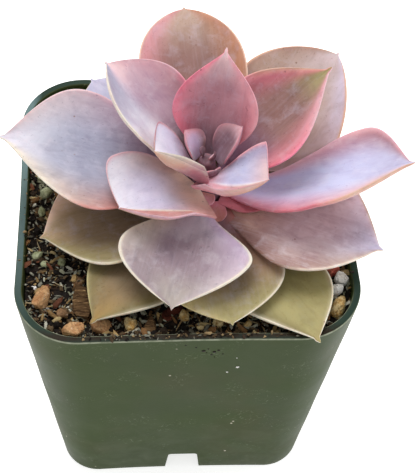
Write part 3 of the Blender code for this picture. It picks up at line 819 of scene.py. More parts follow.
def pot_profile():
    """(inset, height) pairs from the floor's underside, down and round the foot, up the wall, over the lip
    and down the inside to the floor. The lip is flat, with a quarter circle at each edge."""
    turn = np.linspace(0, np.pi / 2, 6)
    rise = [
        (LIP_ROUND - LIP_ROUND * math.cos(t), POT_HEIGHT - LIP_ROUND + LIP_ROUND * math.sin(t))
        for t in turn
    ]
    lip = rise + [(RIM_WALL - inset, z) for inset, z in reversed(rise)]
    wall = [(0, z) for z in np.linspace(0.0006, POT_HEIGHT - LIP_ROUND - 0.0004, 46)]
    inside = [(WALL, z) for z in np.linspace(POT_HEIGHT - RIM_BAND - 0.0012, FLOOR_TOP + 0.0008, 24)]
    foot = [(WALL, FLOOR_UNDER), (WALL, 0.0004), (WALL - 0.0004, 0), (0.0004, 0), (0.0001, 0.0002)]
    band = [(RIM_WALL, POT_HEIGHT - 0.002), (RIM_WALL, POT_HEIGHT - RIM_BAND)]
    return foot + wall + lip + band + inside + [(WALL + 0.0008, FLOOR_TOP)]


def wall_flow(points):
    """Plastic is never quite flat: slow waves of a few hundredths of a millimetre along and up the walls."""
    x, y, z = points[..., 0], points[..., 1], points[..., 2]
    push = 0.00005 * np.sin(x * 170 + 1.3) * np.sin(y * 150 + 0.4) + 0.00004 * np.sin(z * 210 + x * 60)
    away = np.stack([x - POT_CENTRE[0], y - POT_CENTRE[1], np.zeros_like(z)], -1)
    return points + away / np.linalg.norm(away, axis=-1, keepdims=True) * push[..., None]


# %% [markdown]
# Cutting is done with real solids, because a notch has to be open all the way through. The cutters are
# removed once the pot has taken their shape.

# %% Notches and drain holes
NOTCH_HEIGHT = 0.012
NOTCH_BOTTOM_HALF = 0.0062
NOTCH_TOP_HALF = 0.0049
NOTCH_CORNER = 0.0012
BELOW_GROUND = -0.004
DRAIN_RADIUS = 0.004
DRAIN_OFFSET = 0.020
PEG_SIDES = 32


def notch_bar(index, quarter_turns):
    """A bar through two opposite walls, whose section is an arch with leaning sides and rounded upper
    corners."""
    turn = np.linspace(0, np.pi / 2, 7)
    x = np.append(NOTCH_BOTTOM_HALF, NOTCH_TOP_HALF - NOTCH_CORNER + NOTCH_CORNER * np.cos(turn))
    z = np.append(BELOW_GROUND, NOTCH_HEIGHT - NOTCH_CORNER + NOTCH_CORNER * np.sin(turn))
    x, z = np.concatenate([x, -x[::-1]]), np.concatenate([z, z[::-1]])
    outlines = np.stack([np.stack([x, np.full_like(x, y), z], -1) for y in (POT_TOP_HALF, -POT_TOP_HALF)])
    if quarter_turns:
        outlines = np.stack([-outlines[..., 1], outlines[..., 0], outlines[..., 2]], -1)
    return bar(f"notch_bar_{index}", outlines + np.array([*POT_CENTRE, 0]))


def drain_peg(index, x, y):
    """A round peg through the floor."""
    around = round_angles(PEG_SIDES)
    x, y = x + DRAIN_RADIUS * np.cos(around), y + DRAIN_RADIUS * np.sin(around)
    levels = (FLOOR_UNDER - 0.001, FLOOR_TOP + 0.001)
    outlines = np.stack([np.stack([x, y, np.full(PEG_SIDES, z)], -1) for z in levels])
    return bar(f"drain_peg_{index}", outlines + np.array([*POT_CENTRE, 0]))


def mould_pot():
    profile = np.array(pot_profile())
    rings = wall_flow(pot_rings(profile[:, 0], profile[:, 1]))
    points = np.vstack([rings.reshape(-1, 3), (*POT_CENTRE, FLOOR_TOP), (*POT_CENTRE, FLOOR_UNDER)])
    return closed_skin("moulded_pot", points, OUTLINE_STEPS)


def cut_away(obj, cutters):
    """Takes the cutters out of the object for good, then removes them."""
    for cutter in cutters:
        modifier = obj.modifiers.new("cut", "BOOLEAN")
        modifier.object = cutter
        modifier.solver = "EXACT"
    bpy.context.view_layer.update()
    shaped = bpy.data.meshes.new_from_object(obj.evaluated_get(bpy.context.evaluated_depsgraph_get()))
    obj.modifiers.clear()
    obj.data = shaped
    for cutter in cutters:
        bpy.data.objects.remove(cutter, do_unlink=True)


pot = mould_pot()
spots = [(0, 0)] + [(x, y) for x in (-DRAIN_OFFSET, DRAIN_OFFSET) for y in (-DRAIN_OFFSET, DRAIN_OFFSET)]
cutters = [notch_bar(0, False), notch_bar(1, True)]
cutters += [drain_peg(index, x, y) for index, (x, y) in enumerate(spots)]
cut_away(pot, cutters)
pot.data.set_sharp_from_angle(angle=math.radians(38))
print("pot faces after cutting:", len(pot.data.polygons))

# %% [markdown]
# ### Nursery plastic
#
# The plastic is a dull olive green with a satin face. Handling leaves fine scuffs, and dust and dried water
# leave paler clouds towards the foot. The lip is greener and darker, with a paler line along its front edge,
# soil on its inner half in front, and a painted bluish reflection on the left. All of that is noise, mixed in
# small amounts.

# %% Pot finish
def pot_finish():
    make = Finish("olive_nursery_plastic", Specular_IOR_Level=0.055)
    place = make.place()
    across, back, height = make.add("SeparateXYZ", {"Vector": place})
    clouds = make.patches(0.35, 0.7, place, 38, 4, 0.6, 0.4)
    make.colour = make.mix(clouds, "plastic_dark", "plastic_green")
    make.coat("plastic_brown", make.patches(0.52, 0.66, place, 28, 3, 0.6, 0.3), 0.25)
    low = make.spread(height, 0.0, 0.05, 0.20, 0.04)
    make.coat("plastic_dust", low, make.patches(0.4, 0.75, place, 120, 5, 0.65, 0.6))
    handled = make.patches(0.50, 0.60, place, 95, 2, 0.5)
    scuffs = make.times(make.patches(0.58, 0.68, place, 400, 4, 0.7, 2.4), handled)
    make.coat("plastic_dust", scuffs, 0.55)
    specks = make.spread(make.cells(place, 260.0), 0.05, 0.12, 1.0, 0.0)
    make.coat("cream", specks, make.patches(0.62, 0.66, place, 70, 1, 0.5), 0.8)
    frayed = make.noise(place, 330, 3, 0.6)
    # A paler line along the lip's outer rounded edge, strongest in front and frayed by noise.
    front_edge = make.spread(back, -0.046, -0.036, 0.85, 0.1)
    worn = make.spread(frayed, 0.3, 0.6, 0.35)
    make.coat("plastic_pale_line", make.spread(height, 0.0982, 0.0986), worn, front_edge)
    # Along the left side of the lip, stronger towards the back, a pale bluish band is mixed in: a painted
    # reflection.
    on_left = make.spread(across, -0.053, -0.050, 1.0, 0.0)
    hazy = make.times(on_left, make.spread(back, -0.048, 0.012), 0.45)
    soiled = make.times(make.spread(back, -0.049, -0.046, 1.0, 0.0), make.spread(frayed, 0.25, 0.45),
                        make.spread(back, -0.0510, -0.0502, 0.35, 0.95))
    lip_colour = make.mix(soiled, make.mix(hazy, "plastic_lip", "plastic_painted_reflection"), "plastic_soil")
    make.coat(lip_colour, make.spread(height, 0.09893, 0.09897))
    fine = (make.noise(place, 900, 2, 0.5), 0.25, 0.00006)
    return make.done(make.spread(clouds, 0, 1, 0.34, 0.48), fine, (scuffs, 0.2, 0.00004))


seat(pot, pot_finish(), "pot")
print("pot finish:", pot.data.materials[0].name)

# %% [markdown]
# ## The soil
#
# Nursery soil is dark peat, all lumps and threads. Its top is a height field, a sum of smooth random lumps
# of three sizes. Loose crumbs, fibres and white perlite bits then lie on it.

# %% Random lumps
NET = 96


def lumps(x, y, size, seed):
    """Smooth random heights from -1 to 1: a random number on each corner of a square net of the given size,
    and between corners a blend by t * t * (3 - 2 t) both ways."""
    table = np.random.default_rng(seed).uniform(-1, 1, (NET, NET))
    net_x, net_y = x / size + NET // 2, y / size + NET // 2
    low_x, low_y = np.floor(net_x).astype(int), np.floor(net_y).astype(int)
    share_x, share_y = smooth_step(0, 1, net_x - low_x), smooth_step(0, 1, net_y - low_y)
    low_x, low_y, next_x, next_y = (way % NET for way in (low_x, low_y, low_x + 1, low_y + 1))
    near = table[low_x, low_y] * (1 - share_x) + table[next_x, low_y] * share_x
    far = table[low_x, next_y] * (1 - share_x) + table[next_x, next_y] * share_x
    return near * (1 - share_y) + far * share_y


def soil_height(x, y):
    """The soil's level in metres: three sizes of lumps, and a low heap all along the wall."""
    big = lumps(x, y, 0.0095, 11) * 0.00045
    middling = lumps(x, y, 0.0032, 12) * 0.00040
    small = lumps(x, y, 0.0012, 13) * 0.00022
    towards_wall = np.maximum(np.abs(x - POT_CENTRE[0]), np.abs(y - POT_CENTRE[1]))
    heap = 0.0014 * smooth_step(0.0425, 0.0475, towards_wall)
    return SOIL_TOP + big + middling + small + heap


# %% Soil body
SOIL_RINGS = 150


def soil_skin():
    """The pot's inner outline drawn in towards its middle, ring by ring, with its height from soil_height;
    below the lid, the outline goes straight down the walls to the floor."""
    under = np.array([(WALL + GAP, FLOOR_TOP + GAP), (WALL + GAP, 0.0912), (RIM_WALL + GAP, 0.0928)])
    walls = pot_rings(under[:, 0], under[:, 1])
    rim = pot_rings(np.array([RIM_WALL + GAP]), np.array([SOIL_TOP]))[0]
    shrink = np.linspace(1, 0.01, SOIL_RINGS)[:, None]
    x, y = (POT_CENTRE[k] + (rim[None, :, k] - POT_CENTRE[k]) * shrink for k in (0, 1))
    rings = np.concatenate([walls, np.stack([x, y, soil_height(x, y)], -1)])
    return np.vstack([rings.reshape(-1, 3), (*POT_CENTRE, SOIL_TOP), (*POT_CENTRE, FLOOR_TOP + GAP)])


soil = closed_skin("peat_bed", soil_skin(), OUTLINE_STEPS)
print("soil corners:", len(soil.data.vertices))

# %% [markdown]
# ### Peat
#
# Peat is almost black where damp and reddish brown where dry. Loose bits carry a tint of their own, and the
# bed mixes the same browns by noise.

# %% Peat finish
def peat_finish(name, tinted):
    make = Finish(name, Specular_IOR_Level=0.25)
    place = make.place()
    crumbs = make.patches(0.35, 0.7, place, 620, 5, 0.7, 0.3)
    if tinted:
        make.colour = make.painted("tint", "Color")
        make.coat("peat_black", crumbs, 0.35)
    else:
        make.colour = make.mix(crumbs, "peat_black", "peat_brown")
    make.coat("peat_rust", make.patches(0.58, 0.72, place, 260, 3, 0.6), 0.4)
    roughness = make.spread(make.noise(place, 900, 2, 0.6), 0.3, 0.7, 0.95, 0.65)
    return make.done(roughness, (make.noise(place, 2400, 4, 0.7), 0.7, 0.0003), (crumbs, 0.6, 0.0005))


PEAT_BITS = peat_finish("loose_peat", tinted=True)
seat(soil, peat_finish("damp_peat", tinted=False), "soil")
print("peat finishes made")

# %% [markdown]
# ### Loose bits
#
# There are thousands of crumbs and flakes. Each is a twenty sided ball whose corners are pushed in and out,
# and all are made at once: one array of balls, each turned, stretched and moved to its place, joined into
# one mesh.

# %% A twenty sided ball
GOLDEN = (1 + 5**0.5) / 2
BALL = np.array([
    (-1, GOLDEN, 0), (1, GOLDEN, 0), (-1, -GOLDEN, 0), (1, -GOLDEN, 0),
    (0, -1, GOLDEN), (0, 1, GOLDEN), (0, -1, -GOLDEN), (0, 1, -GOLDEN),
    (GOLDEN, 0, -1), (GOLDEN, 0, 1), (-GOLDEN, 0, -1), (-GOLDEN, 0, 1),
]) / math.hypot(1, GOLDEN)
BALL_FACES = np.array([
    (0, 11, 5), (0, 5, 1), (0, 1, 7), (0, 7, 10), (0, 10, 11), (1, 5, 9), (5, 11, 4), (11, 10, 2), (10, 7, 6),
    (7, 1, 8), (3, 9, 4), (3, 4, 2), (3, 2, 6), (3, 6, 8), (3, 8, 9), (4, 9, 5), (2, 4, 11), (6, 2, 10),
    (8, 6, 7), (9, 8, 1),
])


def balls(name, points):
    """One mesh of many balls, from a block of twelve points for each."""
    faces = BALL_FACES[None] + 12 * np.arange(len(points))[:, None, None]
    return object_from(name, points.reshape(-1, 3), faces.reshape(-1, 3))


# %% Scatter bits over the soil
CLEAR_OF_STEM = 0.0085
SOIL_HALF = 0.0472
SOIL_STRAIGHT = 0.0312
SOIL_CORNER = 0.0160


def turned_at_random(rng, count):
    """One turning matrix a bit, from a random unit quaternion (w, v): (2 w w - 1) 1 + 2 v v' + 2 w (v x)."""
    turn = rng.normal(size=(4, count))
    turn = turn / np.linalg.norm(turn, axis=0)
    w, v = turn[0][:, None, None], turn[1:].T
    straight = (2 * w * w - 1) * np.eye(3)
    return straight + 2 * v[:, :, None] * v[:, None] + 2 * w * np.cross(np.eye(3)[None], v[:, None])


def lying_flat(rng, count):
    """One turning matrix a bit: any heading, and a small tilt out of the level."""
    heading, tilt = rng.uniform(0, 2 * np.pi, count), rng.normal(0, 0.35, count)
    rows = [np.cos(heading) * np.cos(tilt), -np.sin(heading), np.cos(heading) * np.sin(tilt),
            np.sin(heading) * np.cos(tilt), np.cos(heading), np.sin(heading) * np.sin(tilt),
            -np.sin(tilt), np.zeros(count), np.cos(tilt)]
    return np.stack(rows, -1).reshape(count, 3, 3)


def places_on_soil(rng, count):
    """Random places inside the pot's wall, leaving out the stem's foot."""
    spots = rng.uniform(-SOIL_HALF, SOIL_HALF, (count * 3, 2))
    corner = np.clip(np.abs(spots) - SOIL_STRAIGHT, 0, None)
    inside = np.hypot(corner[:, 0], corner[:, 1]) < SOIL_CORNER
    spots = spots + np.array(POT_CENTRE)
    clear = np.hypot(spots[:, 0] - AXIS[0], spots[:, 1] - AXIS[1]) > CLEAR_OF_STEM
    return spots[inside & clear][:count]


def pick(rng, shades, count):
    """One of the screen colours for each bit, as linear light."""
    shades = np.array([linear(shade) for shade in shades.split()])
    return shades[rng.integers(0, len(shades), count)]


def scatter(name, count, seed, smallest, largest, shades, bury=0.15, stretch=1.7, flake=False,
            places=places_on_soil, level=soil_height):
    """Bits of size between smallest and largest, small ones far more common, with one shade each. A flake is
    long, narrow and thin, and lies flat; any other bit lies any way up."""
    rng = np.random.default_rng(seed)
    spots = places(rng, count)
    count = len(spots)
    size = smallest + (largest - smallest) * rng.uniform(0, 1, count) ** 2.5
    shape = BALL[None] * (1 + rng.uniform(-0.28, 0.28, (count, 12, 1)))
    low = (0.9, 0.35, 0.25) if flake else (0.55, 0.55, 0.55)
    high = (stretch, 0.8, 0.5) if flake else (stretch, stretch, stretch)
    shape = shape * rng.uniform(low, high, (count, 3))[:, None] * size[:, None, None] / 2
    turning = lying_flat(rng, count) if flake else turned_at_random(rng, count)
    shape = np.einsum("nij,nkj->nki", turning, shape)
    heights = level(spots[:, 0], spots[:, 1]) + size * (0.5 - bury) * 0.6
    obj = balls(name, shape + np.column_stack([spots, heights])[:, None])
    obj.data.shade_flat()
    colours = pick(rng, shades, count) * rng.uniform(0.75, 1.2, (count, 1))
    store_tint(obj, np.repeat(colours, 12, axis=0))
    return obj


for bits in (
    scatter("peat_crumbs", 2600, 21, 0.0006, 0.0022, "#16110e #241b15 #3c2e22 #55432f #1c1511 #6e5a40"),
    scatter("pale_flakes", 5600, 22, 0.0005, 0.0018, "#8f8e80 #b9b9a6 #6d6a5c #dcdac8 #9c9c84 #7c6648",
            bury=-0.25, stretch=2.6, flake=True),
    scatter("straw_chips", 1200, 23, 0.0010, 0.0030, "#c0a06c #8c6640 #d8c08c #7a4a34 #a08458",
            bury=-0.3, stretch=2.2, flake=True),
):
    seat(bits, PEAT_BITS, slot="peat")
    print(bits.name, len(bits.data.vertices) // 12)

# %% [markdown]
# Potting always leaves a little soil on the lip, most of it in front, and a few specks that stick to the
# wall.

# %% Bits on the lip and the wall
LIP_STRETCH = 0.030


def places_on_lip(rng, count):
    """Ten in twelve on the front lip, crowding towards its middle, and one in twelve on either side lip."""
    along = np.clip(rng.normal(0.002, 0.017, count), -LIP_STRETCH, LIP_STRETCH)
    out = rng.uniform(-POT_TOP_HALF + 0.0003, -POT_TOP_HALF + 0.0020, count)
    side = rng.integers(0, 12, count)
    out = np.where(side < 10, out, out * 0.985)
    x = np.where(side < 10, along, np.where(side == 10, out, -out))
    y = np.where(side < 10, out + POT_BOW, rng.uniform(-LIP_STRETCH, LIP_STRETCH, count))
    return np.column_stack([x, y]) + np.array(POT_CENTRE)


def lip_level(x, y):
    return np.full_like(x, POT_HEIGHT)


def specks_on_front(name, specks):
    """Flattened balls on the front wall, as far out as the outline's half width at that height, less the bow
    of its side. Each speck is x from the pot's middle, height and size."""
    x, z, size = np.array(specks).T
    half, radius = pot_size(z)
    y = -(half - POT_BOW * (1 - np.clip(np.abs(x) / (half - radius), 0, 1) ** 2))
    centres = np.column_stack([x + POT_CENTRE[0], y + POT_CENTRE[1], z])
    return balls(name, BALL[None] * size[:, None, None] * np.array([0.5, 0.16, 0.5]) + centres[:, None])


lip_bits = scatter("bits_on_lip", 150, 24, 0.0004, 0.0015, "#1c1511 #8f8e80 #3c2e22 #6e5a40 #a88f68 #55432f",
                   bury=0.1, stretch=1.8, flake=True, places=places_on_lip, level=lip_level)
seat(lip_bits, PEAT_BITS, slot="peat")
WHITE_SPECKS = [(0.0142, 0.0807, 0.0011), (0.0113, 0.0773, 0.0007), (0.0136, 0.0868, 0.0005)]
DARK_SPECKS = [
    (0.0038, 0.0918, 0.0013), (0.0062, 0.0893, 0.0008), (0.0051, 0.0930, 0.0006), (0.0081, 0.0921, 0.0010),
    (0.0094, 0.0896, 0.0006), (0.0016, 0.0941, 0.0007), (0.0071, 0.0876, 0.0005), (-0.0014, 0.0957, 0.0008),
    (0.0047, 0.0905, 0.0005), (0.0069, 0.0911, 0.0012),
]
dark_specks = specks_on_front("soil_specks_on_wall", DARK_SPECKS)
store_tint(dark_specks, np.tile(linear("#241b12"), (len(dark_specks.data.vertices), 1)))
seat(dark_specks, PEAT_BITS, slot="peat")
print("bits on the lip:", len(lip_bits.data.vertices) // 12, "specks:", len(DARK_SPECKS) + len(WHITE_SPECKS))

# %% [markdown]
# ### Fibres
#
# Thin roots and bark threads lie across the crumbs. Each is a bent tube: a circle of five corners carried
# along a curved path, and again all are worked out together.

# %% Fibres
FIBRE_RINGS = 9
FIBRE_SIDES = 5
FIBRE_HALF = 0.0468


def fibres(name, count, seed, longest, shades):
    """Paths are parabolas on the soil, lifted in the middle; the tube's radius thins to both ends."""
    rng = np.random.default_rng(seed)
    spots = places_on_soil(rng, count)
    count = len(spots)
    length = longest * rng.uniform(0.25, 1, count)
    heading = rng.uniform(0, 2 * np.pi, count)
    bow = rng.uniform(-0.35, 0.35, count)
    t = np.linspace(-0.5, 0.5, FIBRE_RINGS)[None, :]
    ahead, aside = t * length[:, None], (t**2 - 0.08) * (bow * length)[:, None] * 2
    cosine, sine = np.cos(heading)[:, None], np.sin(heading)[:, None]
    x = spots[:, :1] + ahead * cosine - aside * sine
    y = spots[:, 1:] + ahead * sine + aside * cosine
    x, y = (np.clip(way, middle - FIBRE_HALF, middle + FIBRE_HALF) for way, middle in zip((x, y), POT_CENTRE))
    lift = rng.uniform(0.0003, 0.0011, count)[:, None] * (1 - 2.2 * t**2)
    path = np.stack([x, y, soil_height(x, y) + lift], -1)
    radius = (rng.uniform(0.00008, 0.00028, count)[:, None] * (1 - 3.2 * t**2))[..., None, None]
    around = round_angles(FIBRE_SIDES)[:, None]
    side = np.stack([-np.sin(heading), np.cos(heading), np.zeros(count)], -1)[:, None, None]
    ring = side * np.cos(around) + np.array([0, 0, 1]) * np.sin(around)
    points = (path[:, :, None] + ring * radius).reshape(-1, 3)
    corners = FIBRE_RINGS * FIBRE_SIDES
    first = corners * np.arange(count)[:, None, None]
    quads = (ring_faces(FIBRE_RINGS, FIBRE_SIDES)[None] + first).reshape(-1, 4)
    ends = np.stack([np.arange(FIBRE_SIDES)[::-1], corners - FIBRE_SIDES + np.arange(FIBRE_SIDES)])
    obj = object_from(name, points, quads, (ends[None] + first).reshape(-1, FIBRE_SIDES))
    store_tint(obj, np.repeat(pick(rng, shades, count), corners, axis=0))
    return obj


threads = fibres("root_fibres", 700, 31, 0.007, "#5a4030 #86653f #b2946a #2c1c16 #d0bc94")
seat(threads, PEAT_BITS, slot="peat")
print("fibres:", len(threads.data.vertices) // (FIBRE_RINGS * FIBRE_SIDES))

# %% [markdown]
# ### Perlite
#
# The small white bits are perlite, a light porous glass: rounder balls than the crumbs, white with fine
# pits.

# %% Perlite
def pumice_finish():
    make = Finish("white_pumice", Specular_IOR_Level=0.3)
    place = make.place()
    clouds = make.patches(0.4, 0.7, place, 500, 4, 0.65)
    make.colour = make.mix(make.times(clouds, 0.5), "pumice_white", "pumice_grey")
    pits = make.spread(make.cells(place, 1600.0), 0.1, 0.45)
    make.coat("umber", make.spread(pits, 0.0, 0.4, 0.45, 0.0))
    return make.done(make.spread(clouds, 0, 1, 0.75, 0.95), (pits, 0.7, 0.0004))


PUMICE = pumice_finish()
perlite = scatter("perlite_bits", 42, 41, 0.0006, 0.0021, "#ffffff", bury=0.3, stretch=1.2)
seat(perlite, PUMICE, slot="pumice")
seat(specks_on_front("white_specks_on_wall", WHITE_SPECKS), PUMICE, slot="pumice")
print("perlite bits:", len(perlite.data.vertices) // 12)

# %% [markdown]
# ## Stones, bark and a dry leaf
#
# Fourteen larger pieces lie on the soil. A broken stone has flat faces with worn edges: in each direction,
# the surface is as far out as the nearest of fifteen random flat faces, softened where they meet, plus fine
# waves. A bark chip has nine, with sharper edges, and is cut off flat.

# %% Broken stones
def set_down(points, place, turn):
    """Turns points about Z by so many degrees, and sets them on the soil at a place from the pot's middle."""
    angle = math.radians(turn)
    x, y, z = np.moveaxis(points, -1, 0)
    x, y = x * math.cos(angle) - y * math.sin(angle), x * math.sin(angle) + y * math.cos(angle)
    spot = (POT_CENTRE[0] + place[0], POT_CENTRE[1] + place[1], SOIL_TOP + GAP)
    return np.stack([x, y, z], -1) + np.array(spot)


def stone(name, place, size, turn, seed, faces=15, softness=9.0, grain=0.034, ceiling=1.0, rows=40, sides=56):
    """Distance in each direction is a soft least over flat faces: the sum of (way . face / reach) to the
    power of softness, then its root turned over. The form is then cut flat below, set to its size, turned
    and placed."""
    rng = np.random.default_rng(seed)
    tilt = np.linspace(0, np.pi, rows + 2)[1:-1][:, None]
    around = round_angles(sides)[None, :]
    ways = np.stack([np.sin(tilt) * np.cos(around), np.sin(tilt) * np.sin(around),
                     -np.cos(tilt) * np.ones_like(around)], -1)
    ways = np.vstack([ways.reshape(-1, 3), (0, 0, 1), (0, 0, -1)])
    normals = rng.normal(size=(faces, 3))
    normals = np.vstack([normals / np.linalg.norm(normals, axis=1, keepdims=True), np.eye(3), -np.eye(3)])
    reach = np.concatenate([rng.uniform(0.72, 1.05, faces), np.full(6, 1.0)])
    lean = np.clip(ways @ normals.T, 0, None) / reach
    distance = (lean**softness).sum(1) ** (-1 / softness)
    fine = np.sin(ways @ rng.normal(size=(3, 6)) * 9 + rng.uniform(0, 6, 6)).mean(1)
    finer = np.sin(ways @ rng.normal(size=(3, 8)) * 21 + rng.uniform(0, 6, 8)).mean(1)
    points = ways * (distance * (1 + grain * 2.5 * fine + grain * finer))[:, None]
    points[:, 2] = np.clip(points[:, 2], -0.55, ceiling + 0.1 * points[:, 0])
    low, high = points.min(0), points.max(0)
    points = (points - low) / (high - low) - np.array([0.5, 0.5, 0])
    return closed_skin(name, set_down(points * np.array(size), place, turn), sides)


# %% [markdown]
# Stone isn't one colour either: iron stains it in clouds, and small crystals and pits break up the light.

# %% Stone finish
def stone_finish(name, main, stain, dark, glint=0.4):
    """main, stain and dark are screen colours for the face, the iron stains and the pits."""
    make = Finish(name, Specular_IOR_Level=glint)
    place = make.place()
    stains = make.patches(0.40, 0.60, place, 380, 4, 0.7, 0.5)
    make.colour = make.mix(stains, main, stain)
    make.coat(dark, make.patches(0.50, 0.66, place, 1300, 4, 0.75), 0.65)
    make.coat("cream", make.patches(0.62, 0.74, place, 900, 3, 0.6), 0.5)
    return make.done(make.spread(stains, 0, 1, 0.55, 0.85), (make.noise(place, 1300, 5, 0.75), 0.9, 0.0005))


STONE_FINISHES = {
    "orange_stone": stone_finish("orange_sandstone", "#d2a675", "#b07c50", "#5c3e24"),
    "yellow_stone": stone_finish("yellow_flint", "#f3dda6", "#c59a55", "#7a5628"),
    "brown_stone": stone_finish("brown_gravel", "#9a7450", "#6f5234", "#3a2818"),
    "red_stone": stone_finish("red_clay_stone", "#dc7c66", "#b04c3c", "#6a281e"),
    "pale_green_lump": stone_finish("pale_green_lump", "#c6cca6", "#9aa078", "#5c5c40", 0.2),
    "pumice": PUMICE,
}
print("stone finishes:", sorted(STONE_FINISHES))

# %% Set the stones
STONES = [
    ("orange_stone_front", (-0.0330, -0.0441), (0.0066, 0.0048, 0.0036), 5),
    ("orange_stone_under_leaf", (-0.0250, -0.0423), (0.0058, 0.0056, 0.0026), 20),
    ("pink_stone_left", (-0.0420, -0.0325), (0.0082, 0.0040, 0.0034), 70),
    ("yellow_stone_front", (-0.0170, -0.0420), (0.0042, 0.0036, 0.0026), 80),
    ("olive_stone_left", (-0.0318, -0.0265), (0.0040, 0.0034, 0.0014), 30),
    ("small_brown_stone", (-0.0362, -0.0378), (0.0034, 0.0028, 0.0020), 0),
    ("red_stone_right", (0.0426, -0.0245), (0.0052, 0.0042, 0.0034), 20),
    ("white_pumice_upper", (0.0451, -0.0280), (0.0042, 0.0034, 0.0032), 150),
    ("white_pumice_lower", (0.0430, -0.0314), (0.0042, 0.0038, 0.0032), 20),
    ("tan_stone_right", (0.0433, -0.0372), (0.0074, 0.0042, 0.0034), 59),
]
for seed, (name, place, size, turn) in enumerate(STONES, start=51):
    seat(stone(name + "_broken", place, size, turn, seed), STONE_FINISHES[SLOT_OF[name]], name)
print("stones set:", len(STONES))

# %% [markdown]
# Between them lie smaller and coarser lumps: pale green ones by the left wall, a few white ones in its
# corner, and yellow and brown ones in front.

# %% Small lumps
LUMPS = [
    ("pale_green_lump", (-0.0421, 0.0060), 0.0034), ("pale_green_lump", (-0.0432, -0.0012), 0.0026),
    ("pale_green_lump", (-0.0438, 0.0120), 0.0020), ("pale_green_lump", (-0.0440, -0.0172), 0.0028),
    ("pale_green_lump", (-0.0367, -0.0198), 0.0022), ("pale_green_lump", (-0.0420, -0.0205), 0.0018),
    ("pumice", (-0.0449, -0.0290), 0.0018), ("pumice", (-0.0440, -0.0345), 0.0016),
    ("yellow_stone", (-0.0015, -0.0391), 0.0030), ("yellow_stone", (0.0081, -0.0418), 0.0026),
    ("yellow_stone", (0.0030, -0.0432), 0.0018), ("yellow_stone", (0.0165, -0.0425), 0.0022),
    ("brown_stone", (-0.0260, -0.0330), 0.0028), ("brown_stone", (-0.0330, -0.0150), 0.0026),
    ("brown_stone", (-0.0395, -0.0130), 0.0022), ("brown_stone", (0.0360, -0.0425), 0.0026),
]
for seed, (kind, place, width) in enumerate(LUMPS, start=101):
    size = (width * 1.25, width, width * 0.75)
    lump = stone(f"small_lump_{seed - 100}", place, size, seed * 47, seed, faces=11, rows=10, sides=14)
    seat(lump, STONE_FINISHES[kind], slot="pumice" if kind == "pale_green_lump" else kind)
print("small lumps:", len(LUMPS))

# %% [markdown]
# ### Bark and stick
#
# Bark chips are flat flakes with a ridged grain along them. The stick is a tapered twig, a bent tube with
# knots.

# %% Bark and stick
TWIG_RINGS = 40
TWIG_SIDES = 24


def bark_finish(name, main, ridge, dark):
    make = Finish(name, Specular_IOR_Level=0.2)
    ridges = make.patches(0.35, 0.7, make.place(Scale=(300, 1500, 1500)), 1.0, 4, 0.65, 0.8)
    make.colour = make.mix(ridges, dark, main)
    make.coat(ridge, make.spread(ridges, 0.7, 1.0, 0.0, 0.6))
    return make.done(make.spread(ridges, 0, 1, 0.95, 0.7), (ridges, 0.9, 0.0006))


def lay_tube(name, along, across, up, place, turn):
    """A closed tube on the soil, from its rings' coordinates along it, across it and up."""
    rings = set_down(np.stack(np.broadcast_arrays(along, across, up), -1), place, turn)
    points = np.vstack([rings.reshape(-1, 3), rings[-1].mean(0), rings[0].mean(0)])
    return closed_skin(name, points, rings.shape[1])


def twig(name, place, size, turn, seed):
    """A circle carried along a slightly bent path; its radius wanders by sines and closes at both ends."""
    rng = np.random.default_rng(seed)
    t = np.linspace(-1, 1, TWIG_RINGS)[:, None]
    around = round_angles(TWIG_SIDES)[None, :]
    closing = np.sqrt(np.clip(1 - np.abs(t) ** 9, 0, 1)) * (1 - 0.25 * t)
    knots = 1 + 0.10 * np.sin(5 * t + rng.uniform(0, 6)) + 0.05 * np.sin(3 * around + 7 * t)
    radius = closing * knots / 1.45
    across = size[1] / 2 * (radius * np.cos(around) + 0.18 * np.sin(2.2 * t))
    return lay_tube(name, t * size[0] / 2, across, size[2] / 2 * (1 + radius * np.sin(around)), place, turn)


BARK = bark_finish("pine_bark", "#8a6a46", "#c4a070", "#3e2a1c")
for seed, (name, place, size, turn) in enumerate([
    ("bark_chip", (-0.0305, -0.0342), (0.0105, 0.0062, 0.0022), 78),
    ("bark_piece_front", (-0.0112, -0.0425), (0.0056, 0.0034, 0.0022), 85),
], start=71):
    chip = stone(name + "_flake", place, size, turn, seed, faces=9, softness=22.0, grain=0.035, ceiling=0.5)
    seat(chip, BARK, name)
stick = twig("tan_stick_twig", (-0.0385, -0.0385), (0.0060, 0.0016, 0.0014), -48, 81)
seat(stick, bark_finish("dry_twig", "#b89868", "#dcc898", "#70522f"), "tan_stick")
print("bark and stick set")

# %% [markdown]
# ### A dry leaf scrap
#
# In front of the rosette lies a scrap of a dead leaf, curled like a shaving: a thin sheet whose section is
# an arc that tightens along its length.

# %% Dry leaf
SCRAP_RINGS = 48
SCRAP_SIDES = 40


def dry_scrap(name, place, length, width, turn):
    """Rings round a thin sheet: width falls as 1 - t squared to the power 0.4, the section is an arc that
    tightens along t, and the sheet is a quarter of a millimetre thick."""
    t = np.linspace(-0.97, 0.97, SCRAP_RINGS)[:, None]
    around = round_angles(SCRAP_SIDES)[None, :]
    u, edge = np.cos(around), np.sin(around)
    half = width / 2 * np.sqrt(1 - t**2) ** 0.8 * (1 + 0.08 * np.sin(9 * t))
    curl = 1.1 + 0.5 * t
    across = half * np.sin(curl * u) / curl * 1.25
    raised = half * (np.cos(curl * u * 0.9) - np.cos(curl * 0.9)) * 0.75
    ridge = 0.00010 * np.sin(14 * u + 3 * t)
    up = raised + ridge * np.abs(edge) + 0.00013 * edge + 0.00025 + 0.0003 * (1 + np.sin(3 * t))
    return lay_tube(name, t * length / 2, across, up, place, turn)


scrap = dry_scrap("dry_leaf_scrap", (-0.0045, -0.0372), 0.0090, 0.0036, 42)
seat(scrap, bark_finish("dry_leaf_paper", "#7c3c2c", "#b8765c", "#40201a"), "dry_leaf")
print("dry leaf set")

